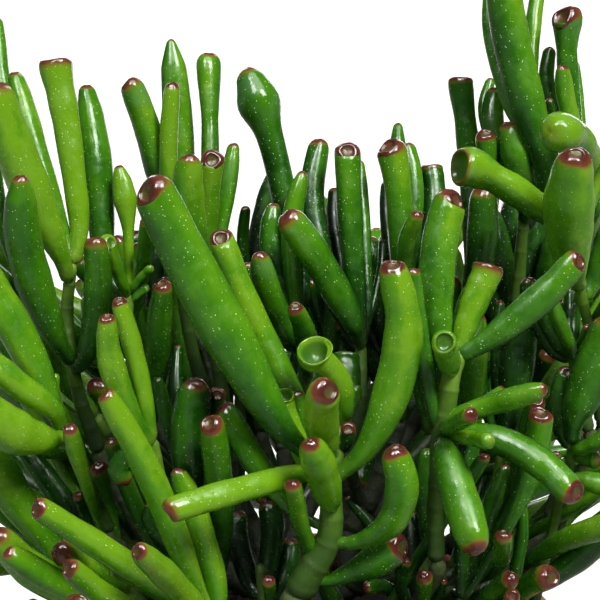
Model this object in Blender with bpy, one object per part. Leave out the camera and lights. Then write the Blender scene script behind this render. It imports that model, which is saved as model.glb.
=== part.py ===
"""Trumpet jade: a bushy jade plant with tubular leaves, growing in a plain clay pot.

Metres, +Z up, the pot stands on z = 0 with its axis on the origin, the front of the plant faces -Y.
The shoots of the front are set out on a front elevation; the others stand round the crown in rings.
"""
import math
import random

import bmesh
import bpy
import numpy as np
from mathutils import Vector

# ---------------------------------------------------------------- driving dimensions
MM = 0.001
UNIT = 0.0002                 # one unit of the front elevation, metres
SHEET = 600.0                 # the front elevation is this many units wide and high
SHEET_CENTRE = np.array((0.0, -0.018, 0.160))
SIGHT_TILT = math.radians(12.0)     # the front elevation is drawn looking this much downward
SIGHT_RANGE = 0.36            # distance from which the front elevation is drawn

POT_HEIGHT = 0.085
SOIL_TOP = 0.0745
TRUNK_RADIUS = 0.0085
TRUNK_FOOT = 0.058
TRUNK_HEAD = np.array((0.0, 0.001, 0.089))
CLEARANCE = 0.0003            # gap kept between neighbouring pieces
LEAF_GAP = 0.0006             # gap aimed at between neighbouring leaves
KNOTS = (0.0, 0.22, 0.48, 0.74, 1.0)     # stations along a leaf
LIMB_STATIONS = (0.0, 0.5, 1.0)
LIMB_COLLAR = 0.0028          # straight end of a limb where it meets its shoot
FINE = 4                      # least samples between two stations when leaves are kept apart
SAMPLE_STEP = 0.0028

# ---------------------------------------------------------------- front elevation
# shoot: (stem points from its low end to its top, leaves)
# stem point: across, down, depth in mm
# leaf: form, facing of the mouth, tip (across, down, depth mm), halfway, base, width, end, light
SHOOTS = {
"left_top": ([(98,450,12),(80,398,8),(72,362,4),(67,310,4),(72,264,2)], [
 ("cup","LU",(-8,84,-10),(27,178),(70,266),44,34,8),
 ("point","U",(14,72,8),(36,150),(71,262),26,15,4),
 ("flat","U",(54,58,4),(69,155),(76,260),26,35,8),
 ("point","U",(21,175,-18),(28,262),(68,362),40,16,3.4),
 ("cup","U",(95,237,-10),(97,300),(82,368),29,23,4),
 ("point","U",(-3,18,16),(6,100),(60,262),19,11,4),
 ("point","U",(-8,150,10),(0,215),(50,350),20,12,2),
]),
"left_inner": ([(150,520,20),(140,430,14),(130,350,8),(127,292,6)], [
 ("point","U",(119,165,6),(128,225),(127,286),24,9,8),
 ("cup","VRG",(106,236,-4),(114,262),(127,294),16,18,8),
 ("point","RG",(153,267,2),(142,276),(129,292),10,6,7),
 ("point","RG",(149,287,6),(140,292),(130,300),10,6,6),
 ("point","U",(86,85,14),(97,172),(108,300),31,14,3),
]),
"left_front": ([(186,600,0),(172,530,-6),(158,470,-12),(152,440,-14)], [
 ("cup","VU",(118,298,-20),(137,365),(152,442),21,16,8),
 ("cup","VU",(107,315,-26),(114,372),(147,445),26,15,7),
 ("point","D",(127,485,-10),(121,462),(150,452),22,20,3),
]),
"low_left_front": ([(238,680,-4),(224,646,-8),(206,612,-10)], [
 ("cup","UL",(104,392,-26),(156,488),(202,606),29,19,8),
 ("point","U",(177,467,-12),(203,540),(222,622),30,14,7),
 ("cup","LV",(34,505,-28),(104,549),(200,612),26,22,7),
 ("cup","LV",(137,549,-36),(168,577),(206,618),28,18,7),
 ("cup","LV",(67,565,-30),(112,600),(206,650),30,20,6),
 ("point","LG",(110,571,-18),(132,581),(190,616),10,8,5),
]),
"left_joint": ([(110,530,2),(92,492,-2),(80,460,-6),(62,428,-10)], [
 ("cup","LU",(-22,262,-16),(19,336),(54,405),37,28,7),
 ("cup","LU",(-30,345,-22),(18,384),(62,414),30,24,8),
 ("cup","L",(-34,392,-26),(14,432),(60,438),46,34,7),
 ("point","UG",(53,374,-12),(52,388),(58,410),11,8,5),
]),
"low_left": ([(176,640,12),(140,600,8),(110,565,6),(100,545,6)], [
 ("point","LU",(-34,428,-6),(16,500),(84,582),46,30,4.6),
 ("point","L",(-4,532,-14),(36,572),(118,612),38,22,6),
 ("point","UV",(95,465,-4),(107,506),(118,562),28,21,3),
 ("point","U",(78,493,0),(84,514),(104,552),18,12,2),
 ("point","LV",(58,551,-18),(82,563),(122,590),24,27,6),
 ("point","L",(26,604,-4),(66,624),(130,648),22,16,3),
 ("point","L",(20,446,10),(52,486),(98,556),26,16,2),
]),
"top_left": ([(212,420,28),(190,340,24),(178,262,20)], [
 ("cup","LUS",(129,79,12),(150,138),(176,240),30,24,4),
 ("point","U",(171,39,22),(178,130),(182,250),30,7,4),
 ("point","UV",(173,82,10),(169,160),(173,252),20,15,8),
]),
"top_left_inner": ([(226,420,20),(214,340,14),(206,276,10)], [
 ("bulb","U",(208,53,20),(210,140),(210,262),20,27,3),
 ("point","U",(234,143,12),(226,200),(212,270),17,11,5),
 ("cup","V",(214,151,2),(208,200),(205,272),24,25,7),
 ("point","U",(190,154,-4),(189,208),(203,276),33,18,6),
]),
"inner_back": ([(262,430,34),(256,360,30),(249,300,26)], [
 ("point","U",(246,206,22),(243,238),(247,292),12,9,2),
 ("point","U",(284,158,28),(262,215),(251,296),20,12,1),
 ("point","U",(231,315,10),(238,332),(250,350),11,8,3),
]),
"centre_front": ([(300,592,-11),(308,574,-13),(328,542,-15),(331,508,-17),(328,470,-16),(342,425,-12)], [
 ("cup","LV",(148,179,-30),(207,297),(308,472),50,38,4.4),
 ("spoon","VUG",(281,394,-26),(290,426),(312,472),23,21,8),
 ("cup","VR",(325,386,-38),(321,416),(328,455),36,29,8),
 ("point","UV",(309,441,-34),(322,472),(331,508),34,17,8),
 ("cup","LD",(165,512,-36),(236,491),(308,472),27,25,8),
 ("cup","VU",(391,261,-26),(400,364),(346,480),40,25,6),
 ("point","VU",(393,446,-28),(397,513),(344,545),33,25,6),
 ("point","ULS",(223,403,-12),(262,471),(314,528),30,19,4),
 ("cup","RVS",(405,541,-14),(364,568),(316,586),35,30,3),
 ("cup","V",(218,230,-12),(256,324),(322,445),31,25,6.5),
 ("spoon","VUG",(303,352,-24),(337,376),(345,420),25,38,8),
 ("flat","UG",(346,351,-6),(346,376),(345,414),31,27,4),
 ("point","UG",(356,384,-10),(354,396),(348,414),14,12,4),
 ("cup","V",(348,426,-22),(348,434),(344,448),15,16,3),
 ("point","U",(296,390,-14),(304,415),(320,448),16,14,5),
]),
"centre_back": ([(352,450,10),(360,400,8),(361,346,8)], [
 ("point","ULS",(285,212,-8),(329,278),(364,346),34,28,4),
 ("point","U",(320,139,16),(313,205),(334,300),24,20,1),
 ("cup","V",(347,142,6),(350,218),(357,306),25,26,3),
 ("point","U",(358,160,18),(362,222),(367,316),16,12,2),
 ("point","U",(334,188,18),(336,232),(353,310),16,12,0),
 ("point","U",(319,196,26),(331,245),(354,320),24,14,2),
 ("point","U",(382,240,20),(381,268),(368,320),9,6,3),
]),
"centre_left_back": ([(318,430,14),(306,380,8),(300,332,6)], [
 ("point","US",(259,252,-10),(272,300),(300,352),26,15,4),
 ("point","U",(248,262,0),(257,302),(297,354),18,12,3),
 ("point","U",(274,203,6),(273,252),(296,326),26,12,2),
 ("point","U",(303,171,2),(292,226),(297,316),23,11,5),
 ("club","US",(246,68,12),(273,148),(308,312),27,25,2.2),
 ("point","U",(289,252,6),(291,284),(300,330),14,9,2),
 ("cup","UV",(294,306,-14),(305,336),(306,378),22,15,6),
]),
"centre_right_back": ([(398,420,18),(404,350,14),(402,292,12)], [
 ("point","U",(398,123,22),(398,190),(399,284),20,9,3),
 ("spoon","LU",(389,147,8),(400,208),(402,292),27,38,6),
 ("point","U",(408,143,18),(414,200),(407,288),18,12,3),
 ("point","U",(419,212,-2),(407,242),(403,292),18,14,6),
 ("flat","U",(431,164,20),(434,205),(408,310),27,22,0),
 ("point","U",(386,182,26),(388,225),(396,296),16,10,0),
]),
"right_centre": ([(436,560,-2),(436,500,-6),(441,440,-13),(447,402,-16),(452,374,-17),(458,352,-15)], [
 ("cup","VR",(452,191,-12),(436,285),(447,374),37,28,6),
 ("point","U",(413,268,-22),(421,345),(439,438),19,14,3),
 ("trumpet","VG",(443,338,-30),(446,352),(452,370),26,26,7),
 ("flat","U",(492,263,-14),(473,306),(457,354),29,35,7),
 ("point","UG",(471,285,-4),(459,313),(453,350),11,9,6),
 ("point","U",(480,318,-8),(474,336),(460,358),12,8,4),
 ("cup","RV",(581,255,-20),(528,309),(460,358),31,23,3.5),
 ("point","R",(547,388,-26),(503,402),(446,418),25,12,5),
 ("point","RU",(505,388,-12),(486,402),(447,426),14,10,4),
 ("point","R",(473,414,-32),(461,420),(444,428),19,17,6),
 ("bulb","RG",(491,442,-32),(470,439),(444,434),17,17,7),
 ("cup","RVS",(578,500,-28),(519,449),(444,430),34,29,3.8),
 ("point","DV",(478,554,-32),(459,495),(440,438),39,24,4.2),
]),
"right_inner_back": ([(455,470,28),(462,400,24),(466,338,22)], [
 ("point","U",(482,186,12),(480,252),(467,338),33,24,2),
 ("flat","U",(461,75,22),(469,150),(474,300),21,26,3),
 ("cup","UV",(483,133,16),(487,188),(478,310),21,20,2),
]),
"top_right": ([(500,420,32),(514,320,24),(524,220,18),(531,140,12)], [
 ("cup","LU",(499,-54,4),(515,64),(556,212),37,36,4.6),
 ("point","U",(489,-8,16),(496,58),(524,140),17,12,4),
 ("point","U",(540,-20,22),(532,44),(531,130),16,12,4),
 ("point","U",(491,78,24),(485,112),(516,200),13,9,4),
 ("point","U",(512,118,4),(520,166),(530,222),31,18,3),
 ("point","U",(494,88,20),(495,140),(520,210),24,14,2),
 ("point","U",(548,122,18),(547,165),(528,230),22,14,2),
]),
"right_top": ([(600,330,30),(594,260,24),(590,195,18),(583,150,14)], [
 ("cup","VLS",(568,6,12),(568,76),(580,154),22,33,3),
 ("point","U",(550,47,20),(549,92),(578,166),16,13,3),
 ("point","U",(562,65,6),(567,106),(583,164),19,12,5),
 ("point","LU",(547,99,16),(558,128),(586,180),12,10,1),
 ("bulb","LVGS",(552,134,-12),(572,138),(592,176),42,42,8),
 ("point","U",(550,204,24),(566,262),(594,312),20,13,1),
 ("point","U",(575,62,24),(579,110),(586,165),12,8,4),
 ("point","U",(606,150,12),(601,180),(592,222),16,10,3),
]),
"right_big": ([(600,420,20),(592,345,10),(580,290,2),(566,236,-2)], [
 ("cup","UV",(576,151,-20),(569,216),(576,288),49,28,8),
 ("trumpet","LLVS",(456,160,-10),(512,188),(560,226),33,46,6),
 ("point","U",(614,150,-4),(602,174),(574,246),14,10,6),
 ("point","UR",(618,205,4),(606,250),(584,300),30,18,5),
]),
"right_middle": ([(588,430,10),(580,392,8),(572,358,6)], [
 ("point","U",(536,292,6),(549,326),(570,358),20,12,3),
 ("point","U",(550,294,-4),(559,322),(574,354),17,10,4),
 ("point","U",(588,326,-2),(584,341),(575,356),10,8,4),
 ("point","U",(528,277,8),(533,312),(562,362),18,16,1),
 ("point","U",(573,284,14),(573,320),(573,360),18,12,1),
 ("point","U",(612,282,2),(600,318),(578,358),26,16,3),
]),
"right_inner": ([(482,540,22),(494,490,18),(502,448,14)], [
 ("point","U",(527,302,8),(519,362),(505,448),33,20,2),
 ("point","U",(500,300,18),(498,360),(500,440),16,10,1),
 ("point","U",(477,330,16),(482,385),(498,450),14,9,1),
]),
"right_low_joint": ([(556,545,14),(566,492,8),(572,444,0)], [
 ("cup","RU",(612,318,-4),(587,384),(566,442),42,28,2),
 ("cup","V",(569,367,0),(561,404),(566,448),22,15,1),
 ("point","R",(622,428,-8),(598,441),(572,452),18,13,5),
 ("point","R",(606,458,-2),(590,456),(574,452),24,18,3),
 ("point","U",(555,452,-2),(558,466),(568,486),14,12,2),
]),
"right_low": ([(530,620,14),(543,565,10),(556,515,6),(563,478,0)], [
 ("point","R",(614,490,-4),(590,481),(563,476),21,14,5),
 ("cup","RU",(617,466,6),(577,517),(538,562),27,20,5),
]),
"low_right": ([(462,662,12),(486,628,10),(512,600,10)], [
 ("cup","RU",(628,505,-4),(584,553),(522,594),46,34,3),
 ("point","U",(522,500,2),(521,545),(508,604),22,14,3),
 ("cup","RV",(551,575,-14),(526,588),(492,618),29,28,3),
 ("cup","V",(512,595,-20),(508,612),(494,632),18,18,4),
]),
"low_right_front": ([(440,665,4),(454,632,2),(462,600,0)], [
 ("cup","UV",(542,409,-12),(519,500),(464,600),30,25,3),
 ("point","U",(474,440,2),(464,492),(462,580),24,14,2),
 ("point","U",(506,464,4),(492,505),(468,582),20,12,3),
]),
"low_front": ([(414,650,12),(420,605,12),(427,565,12),(434,530,12)], [
 ("point","UV",(424,574,-8),(424,592),(421,618),28,24,4),
 ("point","U",(407,560,-4),(401,588),(418,622),26,20,2),
 ("point","U",(445,582,-4),(440,596),(423,612),14,12,4),
 ("point","U",(458,468,9),(444,505),(432,540),24,16,2),
 ("point","L",(364,588,4),(388,590),(418,618),20,13,2),
 ("point","L",(346,496,18),(376,530),(418,574),25,16,1),
 ("point","U",(412,510,16),(413,555),(418,606),20,14,1),
 ("point","UG",(427,448,7),(424,482),(428,545),21,14,4),
]),
"left_centre": ([(222,640,4),(206,575,0),(192,508,-3)], [
 ("point","U",(197,378,-14),(190,436),(193,508),42,22,2),
 ("cup","V",(218,390,-12),(216,408),(200,470),15,16,4),
 ("point","UG",(157,377,-4),(165,410),(184,475),15,11,3),
 ("point","U",(178,345,4),(176,380),(188,470),14,9,1),
 ("point","RG",(221,461,-2),(208,462),(196,480),9,7,3),
 ("point","U",(150,502,0),(152,524),(196,560),22,14,2),
]),
"centre_low": ([(268,650,6),(264,605,2),(260,565,2)], [
 ("point","U",(268,578,-10),(270,598),(266,630),18,16,3),
 ("point","U",(266,500,6),(272,535),(262,590),24,16,2),
 ("point","U",(238,510,8),(238,545),(258,600),24,16,1),
 ("point","U",(290,538,8),(286,575),(268,622),22,14,1),
]),
"deep_left": ([(140,470,46),(146,390,44),(150,330,42)], [
 ("point","U",(112,240,42),(128,290),(148,346),28,16,1),
 ("point","U",(136,230,48),(142,285),(149,340),28,16,0),
 ("point","U",(162,226,46),(157,280),(151,340),28,16,1),
 ("point","U",(186,236,44),(170,290),(152,346),26,15,0),
 ("point","L",(96,300,40),(120,335),(147,366),26,16,1),
 ("point","R",(196,312,40),(174,340),(152,366),26,16,0),
]),
"deep_left_centre": ([(238,480,50),(240,400,46),(242,340,42)], [
 ("point","U",(214,236,42),(226,290),(240,352),28,16,0),
 ("point","U",(240,242,48),(242,292),(242,350),28,16,1),
 ("point","U",(268,244,46),(256,294),(243,350),28,16,0),
 ("point","U",(288,262,42),(268,312),(244,362),26,15,1),
 ("point","L",(204,306,38),(222,342),(240,376),26,16,0),
 ("point","R",(284,322,38),(264,352),(244,380),26,16,0),
]),
"deep_centre": ([(380,480,48),(384,400,44),(386,340,42)], [
 ("point","U",(370,236,42),(376,290),(385,350),30,17,1),
 ("point","U",(398,240,48),(393,294),(387,350),30,17,0),
 ("point","U",(346,258,44),(362,306),(384,356),28,16,0),
 ("point","U",(424,252,44),(407,304),(388,356),28,16,1),
 ("point","L",(338,322,38),(360,350),(384,380),26,16,0),
 ("point","R",(430,322,40),(410,350),(388,380),26,16,0),
]),
"deep_right": ([(520,480,50),(516,400,46),(514,330,42)], [
 ("point","U",(486,206,44),(498,262),(512,334),30,17,1),
 ("point","U",(512,196,48),(514,254),(514,330),30,17,0),
 ("point","U",(538,204,44),(528,262),(516,334),30,17,1),
 ("point","U",(466,262,42),(488,306),(512,352),28,16,0),
 ("point","U",(562,258,42),(540,304),(516,350),28,16,0),
 ("point","R",(566,330,38),(540,352),(516,374),26,16,1),
]),
"deep_far_right": ([(606,470,46),(602,400,44),(598,330,40)], [
 ("point","U",(572,212,42),(584,268),(596,334),28,16,0),
 ("point","U",(600,204,48),(600,262),(598,332),28,16,1),
 ("point","U",(630,220,44),(616,274),(600,336),28,16,0),
 ("point","L",(556,300,40),(576,332),(596,362),26,16,0),
 ("point","R",(640,306,40),(620,336),(600,362),26,16,1),
]),
}

STEM_WIDTHS = {"centre_front": (38, 22), "right_centre": (21, 19), "low_front": (20, 16)}
STEM_WIDTH = (16, 12)

# lowest line the sky reaches between the tips in the front elevation
VALLEY = ((-60, 215), (50, 240), (110, 225), (160, 215), (240, 225), (300, 205), (345, 215),
          (440, 200), (500, 190), (560, 185), (660, 190))

# shoots outside the front elevation: (height of the head, radius, first and last bearing, how many,
# lean of the head outward from upright in degrees)
RINGS = (
    (0.104, 0.044, -22.0, 202.0, 9, 62.0),
    (0.130, 0.038, -1.0, 181.0, 8, 40.0),
    (0.150, 0.043, 25.0, 155.0, 4, 26.0),
    (0.095, 0.040, 236.0, 290.0, 2, 66.0),
)
RING_LEAVES = 6
RING_TRIES = 14               # turns tried for a leaf before it is left out
RING_STEM = np.array((1.8, 1.65, 1.5)) * MM    # stem radii of an outer shoot, low end to top
RING_OVAL = np.array((1.12, 0.95, 1.0))        # the crown is wider than it is deep
RING_REACH = 0.020            # length of an outer shoot's stem
RING_INNER_SPREAD = (12, 26)  # degrees from the stem's axis, the leaves at the top
RING_OUTER_SPREAD = (34, 58)  # and those round it
RING_LENGTH = (0.034, 0.050)  # shortest and longest leaf, metres
RING_WIDTH = (25, 36)         # narrowest and widest leaf, units
RING_END = (0.55, 0.85)       # its end as a share of its width
RING_RISE = (0.05, 0.22)      # how far a leaf bends up, share of its length
RIM_ROOM = 0.006              # least height of a leaf's end over the pot's rim
SHIFTS = (0, 4, -4, 8, -8, 12, -12, 16, -16)   # degrees an outer shoot may be turned to find room
SEED = 31

NECK_SHARE = 0.62             # a leaf's neck as a share of its width
NECK_MOST = 17.0              # widest neck, units
HOLD = np.interp(KNOTS, (0.0, 0.2, 0.5, 1.0), (0.0, 0.55, 0.9, 1.0))    # how freely a station moves
BASE_DEPTH = 0.15             # share of the tip's depth that a drawn leaf has at its base
HALF_DEPTH = 0.62             # and halfway
CURVE_POINTS = 13
SKY_MARGIN = 12               # units beside the front elevation that are kept free too
LEFT_FALL = (497, 0.27, 6)    # the outline's low left corner: from this row down, slope, start
RIGHT_FALL = (540, 1.5)       # its low right corner: from this row down, slope

FORK_ROOM = 0.016             # least distance between two forks
FORK_DROP = 0.0012            # below the trunk's head where the lowest limbs leave it
FORK_STEP = 0.0004
THIN_LIMB = 0.0030
SETTLE_ROUNDS = 160
PAIR_ROUNDS = 10              # rounds between two searches for neighbours
PAIR_REACH = 0.004
ROOT_SHARE = 0.36             # leaves of one shoot may merge below this share of their length
STEP_SHARE = 0.6
THIN_ROUNDS = 6
LEAST_RADIUS = 0.0008
BLOCK = 500                   # samples compared at a time


def unit(v):
    v = np.asarray(v, float)
    return v / max(float(np.linalg.norm(v)), 1e-9)


RIGHT = np.array((1.0, 0.0, 0.0))
UP = np.array((0.0, math.sin(SIGHT_TILT), math.cos(SIGHT_TILT)))
LOOK = np.array((0.0, math.cos(SIGHT_TILT), -math.sin(SIGHT_TILT)))
EYE = SHEET_CENTRE - LOOK * SIGHT_RANGE


def place(across, down, depth):
    """A point of the front elevation, set back from its sheet by depth millimetres."""
    flat = SHEET_CENTRE + RIGHT * (across - SHEET / 2) * UNIT + UP * (SHEET / 2 - down) * UNIT
    return EYE + (flat - EYE) * (1.0 + depth * MM / SIGHT_RANGE)


def sheet_of(point):
    """Where a point is seen on the front elevation: across, down, depth in mm."""
    ray = np.asarray(point, float) - EYE
    reach = float(ray @ LOOK)
    scale = SIGHT_RANGE / reach
    return (SHEET / 2 + float(ray @ RIGHT) * scale / UNIT,
            SHEET / 2 - float(ray @ UP) * scale / UNIT,
            (reach - SIGHT_RANGE) / MM)


def along(line, t):
    """The point a share t of the way along a polyline, by length."""
    line = np.asarray(line, float)
    step = np.linalg.norm(np.diff(line, axis=0), axis=1)
    run = np.concatenate(([0.0], np.cumsum(step)))
    want = t * run[-1]
    return np.array([np.interp(want, run, line[:, k]) for k in range(line.shape[1])])


def girth(width, end, neck, t):
    """Width of a leaf at a share t of its length."""
    return float(np.interp(t, (0.0, 0.12, 0.30, 0.50, 0.70, 0.88, 1.0),
                           (neck, neck * 1.04, neck + (width - neck) * 0.62, width * 0.96, width,
                            width + (end - width) * (0.80 if end > width else 0.30), end)))


class Rod:
    """A leaf or a stem as a line of stations with a radius at each."""

    def __init__(self, shoot, kind, points, radii, fixed, sighted, **facts):
        self.shoot = shoot
        self.kind = kind
        self.points = np.asarray(points, float)
        self.radii = np.asarray(radii, float)
        self.hold = np.asarray(fixed, float)
        self.sighted = sighted
        self.facts = facts


def nearest(line, point):
    """Nearest point of a polyline."""
    best, where = 1e9, None
    for a, b in zip(line[:-1], line[1:]):
        s = float(np.clip((point - a) @ (b - a) / max((b - a) @ (b - a), 1e-12), 0.0, 1.0))
        q = a + (b - a) * s
        gap = float(np.linalg.norm(point - q))
        if gap < best:
            best, where = gap, q
    return where


def drawn_leaf(shoot, stem, leaf):
    form, facing, tip, half, base, width, end, light = leaf
    depth_line = np.array([sheet_of(p) for p in stem])
    flat = nearest(depth_line[:, :2] * UNIT, np.array(base[:2], float) * UNIT)
    best, root_depth = 1e9, 0.0
    for i in range(len(depth_line) - 1):
        a, b = depth_line[i, :2], depth_line[i + 1, :2]
        s = float(np.clip((np.array(base) - a) @ (b - a) / max((b - a) @ (b - a), 1e-9), 0.0, 1.0))
        gap = float(np.linalg.norm(np.array(base) - a - (b - a) * s))
        if gap < best:
            best, root_depth = gap, depth_line[i, 2] + s * (depth_line[i + 1, 2] - depth_line[i, 2])
    root = place(flat[0] / UNIT, flat[1] / UNIT, root_depth)
    tip = np.array(tip, float)
    base3 = np.array((base[0], base[1], root_depth + BASE_DEPTH * (tip[2] - root_depth)))
    half3 = np.array((half[0], half[1], root_depth + HALF_DEPTH * (tip[2] - root_depth)))
    knee = 2 * half3 - (base3 + tip) / 2
    path = [sheet_of(root)]
    for s in np.linspace(0.0, 1.0, CURVE_POINTS):
        path.append((1 - s) ** 2 * base3 + 2 * s * (1 - s) * knee + s * s * tip)
    line = np.array([place(*p) for p in path])
    points = np.array([along(line, t) for t in KNOTS])
    scale = np.array([1.0 + sheet_of(p)[2] * MM / SIGHT_RANGE for p in points])
    neck = min(NECK_SHARE * width, NECK_MOST)
    radii = np.array([girth(width, end, neck, t) for t in KNOTS]) * UNIT / 2 * scale
    return Rod(shoot, "leaf", points, radii, HOLD, True, form=form, facing=facing, light=light,
               width=width * UNIT, end=end * UNIT)


def drawn_shoot(name):
    line, leaves = SHOOTS[name]
    low, top = STEM_WIDTHS.get(name, STEM_WIDTH)
    points = np.array([place(*p) for p in line])
    radii = np.linspace(low, top, len(points)) * UNIT / 2
    rods = [Rod(name, "stem", points, radii, np.zeros(len(points)), True)]
    rods += [drawn_leaf(name, points, leaf) for leaf in leaves]
    return rods


def in_sky(points, radii):
    """True where a leaf would show above the drawn outline of the front elevation."""
    for p, r in zip(points, radii):
        across, down, depth = sheet_of(p)
        if -SKY_MARGIN < across < SHEET + SKY_MARGIN:
            edge = np.interp(across, [v[0] for v in VALLEY], [v[1] for v in VALLEY])
            if down < edge + r / UNIT:
                return True
            if down > LEFT_FALL[0] and across < (down - LEFT_FALL[0]) * LEFT_FALL[1] + LEFT_FALL[2]:
                return True
            if down > RIGHT_FALL[0] and across > SHEET - (down - RIGHT_FALL[0]) * RIGHT_FALL[1]:
                return True
    return False


def clear_of(points, radius, shoots):
    """Least room between a stem and everything that already stands."""
    room = 1.0
    line = np.array([along(points, s) for s in np.linspace(0, 1, 9)])
    for group in shoots.values():
        for rod in group:
            other = np.array([along(rod.points, s) for s in np.linspace(0, 1, 12)])
            thick = np.interp(np.linspace(0, 1, 12), np.linspace(0, 1, len(rod.radii)), rod.radii)
            if rod.kind == "leaf":
                thick = thick * 0.4
            gaps = np.linalg.norm(line[:, None] - other[None, :], axis=2) - thick[None, :] - radius
            room = min(room, float(gaps.min()))
    return room


def ring_stem(height, radius, bearing, lean):
    """The stem of an outer shoot, with its axis and the direction outward."""
    out = np.array((math.cos(bearing), math.sin(bearing), 0.0))
    up = np.array((0.0, 0.0, 1.0))
    axis = unit(up * math.cos(lean) + out * math.sin(lean))
    head = out * radius * RING_OVAL + up * height
    foot = head - axis * RING_REACH - out * 0.003
    return np.array([foot, (foot + head) / 2 + out * 0.0008, head]), axis, out


def ring_shoot(name, draw, height, radius, bearing, lean):
    """A shoot at the sides, the back or under the front, with leaves round its head."""
    points, axis, out = ring_stem(height, radius, bearing, lean)
    up = np.array((0.0, 0.0, 1.0))
    rods = [Rod(name, "stem", points, RING_STEM, np.zeros(3), False)]
    side = unit(np.cross(axis, up) if lean > 0.2 else np.cross(axis, out))
    over = np.cross(side, axis)
    for k in range(RING_LEAVES):
        for attempt in range(RING_TRIES):
            turn = 2 * math.pi * (k + draw.uniform(-0.2, 0.2)) / RING_LEAVES + attempt * 0.5
            spread = math.radians(draw.uniform(*(RING_OUTER_SPREAD if k % 3 else RING_INNER_SPREAD)))
            length = draw.uniform(*RING_LENGTH)
            heading = unit(axis * math.cos(spread)
                           + (side * math.cos(turn) + over * math.sin(turn)) * math.sin(spread))
            root = along(points, 0.45 + 0.55 * (k % 3 == 0) + draw.uniform(-0.1, 0.1) * (k % 3 != 0))
            width = draw.uniform(*RING_WIDTH)
            end = width * draw.uniform(*RING_END)
            rise = up * length * draw.uniform(*RING_RISE)
            path = [root + heading * length * s + rise * s * s for s in np.linspace(0, 1, 9)]
            leaf = np.array([along(path, t) for t in KNOTS])
            neck = min(NECK_SHARE * width, NECK_MOST)
            radii = np.array([girth(width, end, neck, t) for t in KNOTS]) * UNIT / 2
            if leaf[-1][2] < POT_HEIGHT + RIM_ROOM or in_sky(leaf, radii):
                continue
            form = draw.choice(("cup", "point", "point", "cup", "bulb"))
            rods.append(Rod(name, "leaf", leaf, radii, HOLD, False, form=form, facing="",
                            light=draw.choice((4, 5, 6)), width=width * UNIT, end=end * UNIT))
            break
    return rods


def limbs(shoots):
    """The branching stems below the shoots: every shoot's low end is carried down to the trunk."""
    rods = [Rod("stems", "stem", [(0, 0, TRUNK_FOOT), (0, 0, 0.078), TRUNK_HEAD],
                np.array((1.0, 1.0, 0.82)) * TRUNK_RADIUS, np.zeros(3), False)]
    feet = []
    for name, group in shoots.items():
        stem = group[0]
        feet.append((float(stem.points[0][2]), name, stem))
    joints = []
    for turn, (height, name, stem) in enumerate(sorted(feet, key=lambda f: f[0])):
        low = stem.points[0]
        down = unit(stem.points[0] - stem.points[1])
        end = low + down * CLEARANCE
        best, choice = 1e9, (TRUNK_HEAD - np.array((0.0, 0.0, FORK_DROP + FORK_STEP * (turn % 9))), 0)
        for spot, generation in joints:
            drop = low[2] - spot[2]
            flat = math.hypot(low[0] - spot[0], low[1] - spot[1])
            if drop < 0.35 * flat + 0.002 or math.hypot(drop, flat) < FORK_ROOM:
                continue
            cost = float(np.linalg.norm(low - spot)) + 0.25 * math.hypot(spot[0], spot[1]) \
                + 0.010 * generation
            if cost < best:
                best, choice = cost, (spot, generation)
        spot, generation = choice
        collar = end + down * LIMB_COLLAR
        span = float(np.linalg.norm(collar - spot))
        lift = unit(unit(collar - spot) + np.array((0, 0, 0.35)))
        path = []
        for s in np.linspace(0, 1, 9):
            b = spot + lift * span * 0.33
            c = collar + down * span * 0.30
            path.append((1 - s) ** 3 * spot + 3 * s * (1 - s) ** 2 * b + 3 * s * s * (1 - s) * c
                        + s ** 3 * collar)
        points = np.array([along(path, t) for t in LIMB_STATIONS] + [end])
        thick = stem.radii[0]
        radii = np.interp(LIMB_STATIONS + (1.0,), (0.0, 1.0), (max(thick, THIN_LIMB), thick))
        rods.append(Rod("stems", "stem", points, radii, np.zeros(4), False, carries=name,
                        heading=unit(stem.points[1] - stem.points[0])))
        joints.append((points[1], generation + 1))
    return rods


def sampled(rods):
    """All rods as samples: station weights, radii, and which rod each belongs to."""
    first, weight, radius, owner, share, start = [], [], [], [], [], 0
    for k, rod in enumerate(rods):
        count = len(rod.points)
        for i in range(count - 1):
            last = i == count - 2
            length = float(np.linalg.norm(rod.points[i + 1] - rod.points[i]))
            fine = max(FINE, math.ceil(length / SAMPLE_STEP))
            for f in range(fine + (1 if last else 0)):
                a = f / fine
                first.append(start + i)
                weight.append(a)
                radius.append(rod.radii[i] + (rod.radii[i + 1] - rod.radii[i]) * a)
                owner.append(k)
                share.append((i + a) / (count - 1))
        start += count
    return (np.array(first), np.array(weight), np.array(radius), np.array(owner), np.array(share))


def neighbours(spots, radius, extra):
    """Pairs of samples nearer to each other than their radii and a margin, with their distances."""
    squares = (spots ** 2).sum(axis=1)
    found = []
    for s in range(0, len(spots), BLOCK):
        block = squares[s:s + BLOCK, None] + squares[None, :] - 2.0 * spots[s:s + BLOCK] @ spots.T
        reach = radius[s:s + BLOCK, None] + radius[None, :] + extra
        i, j = np.nonzero(block < reach * reach)
        i = i + s
        keep = i < j
        found.append(np.stack((i[keep], j[keep]), axis=1))
    return np.concatenate(found).T


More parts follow.
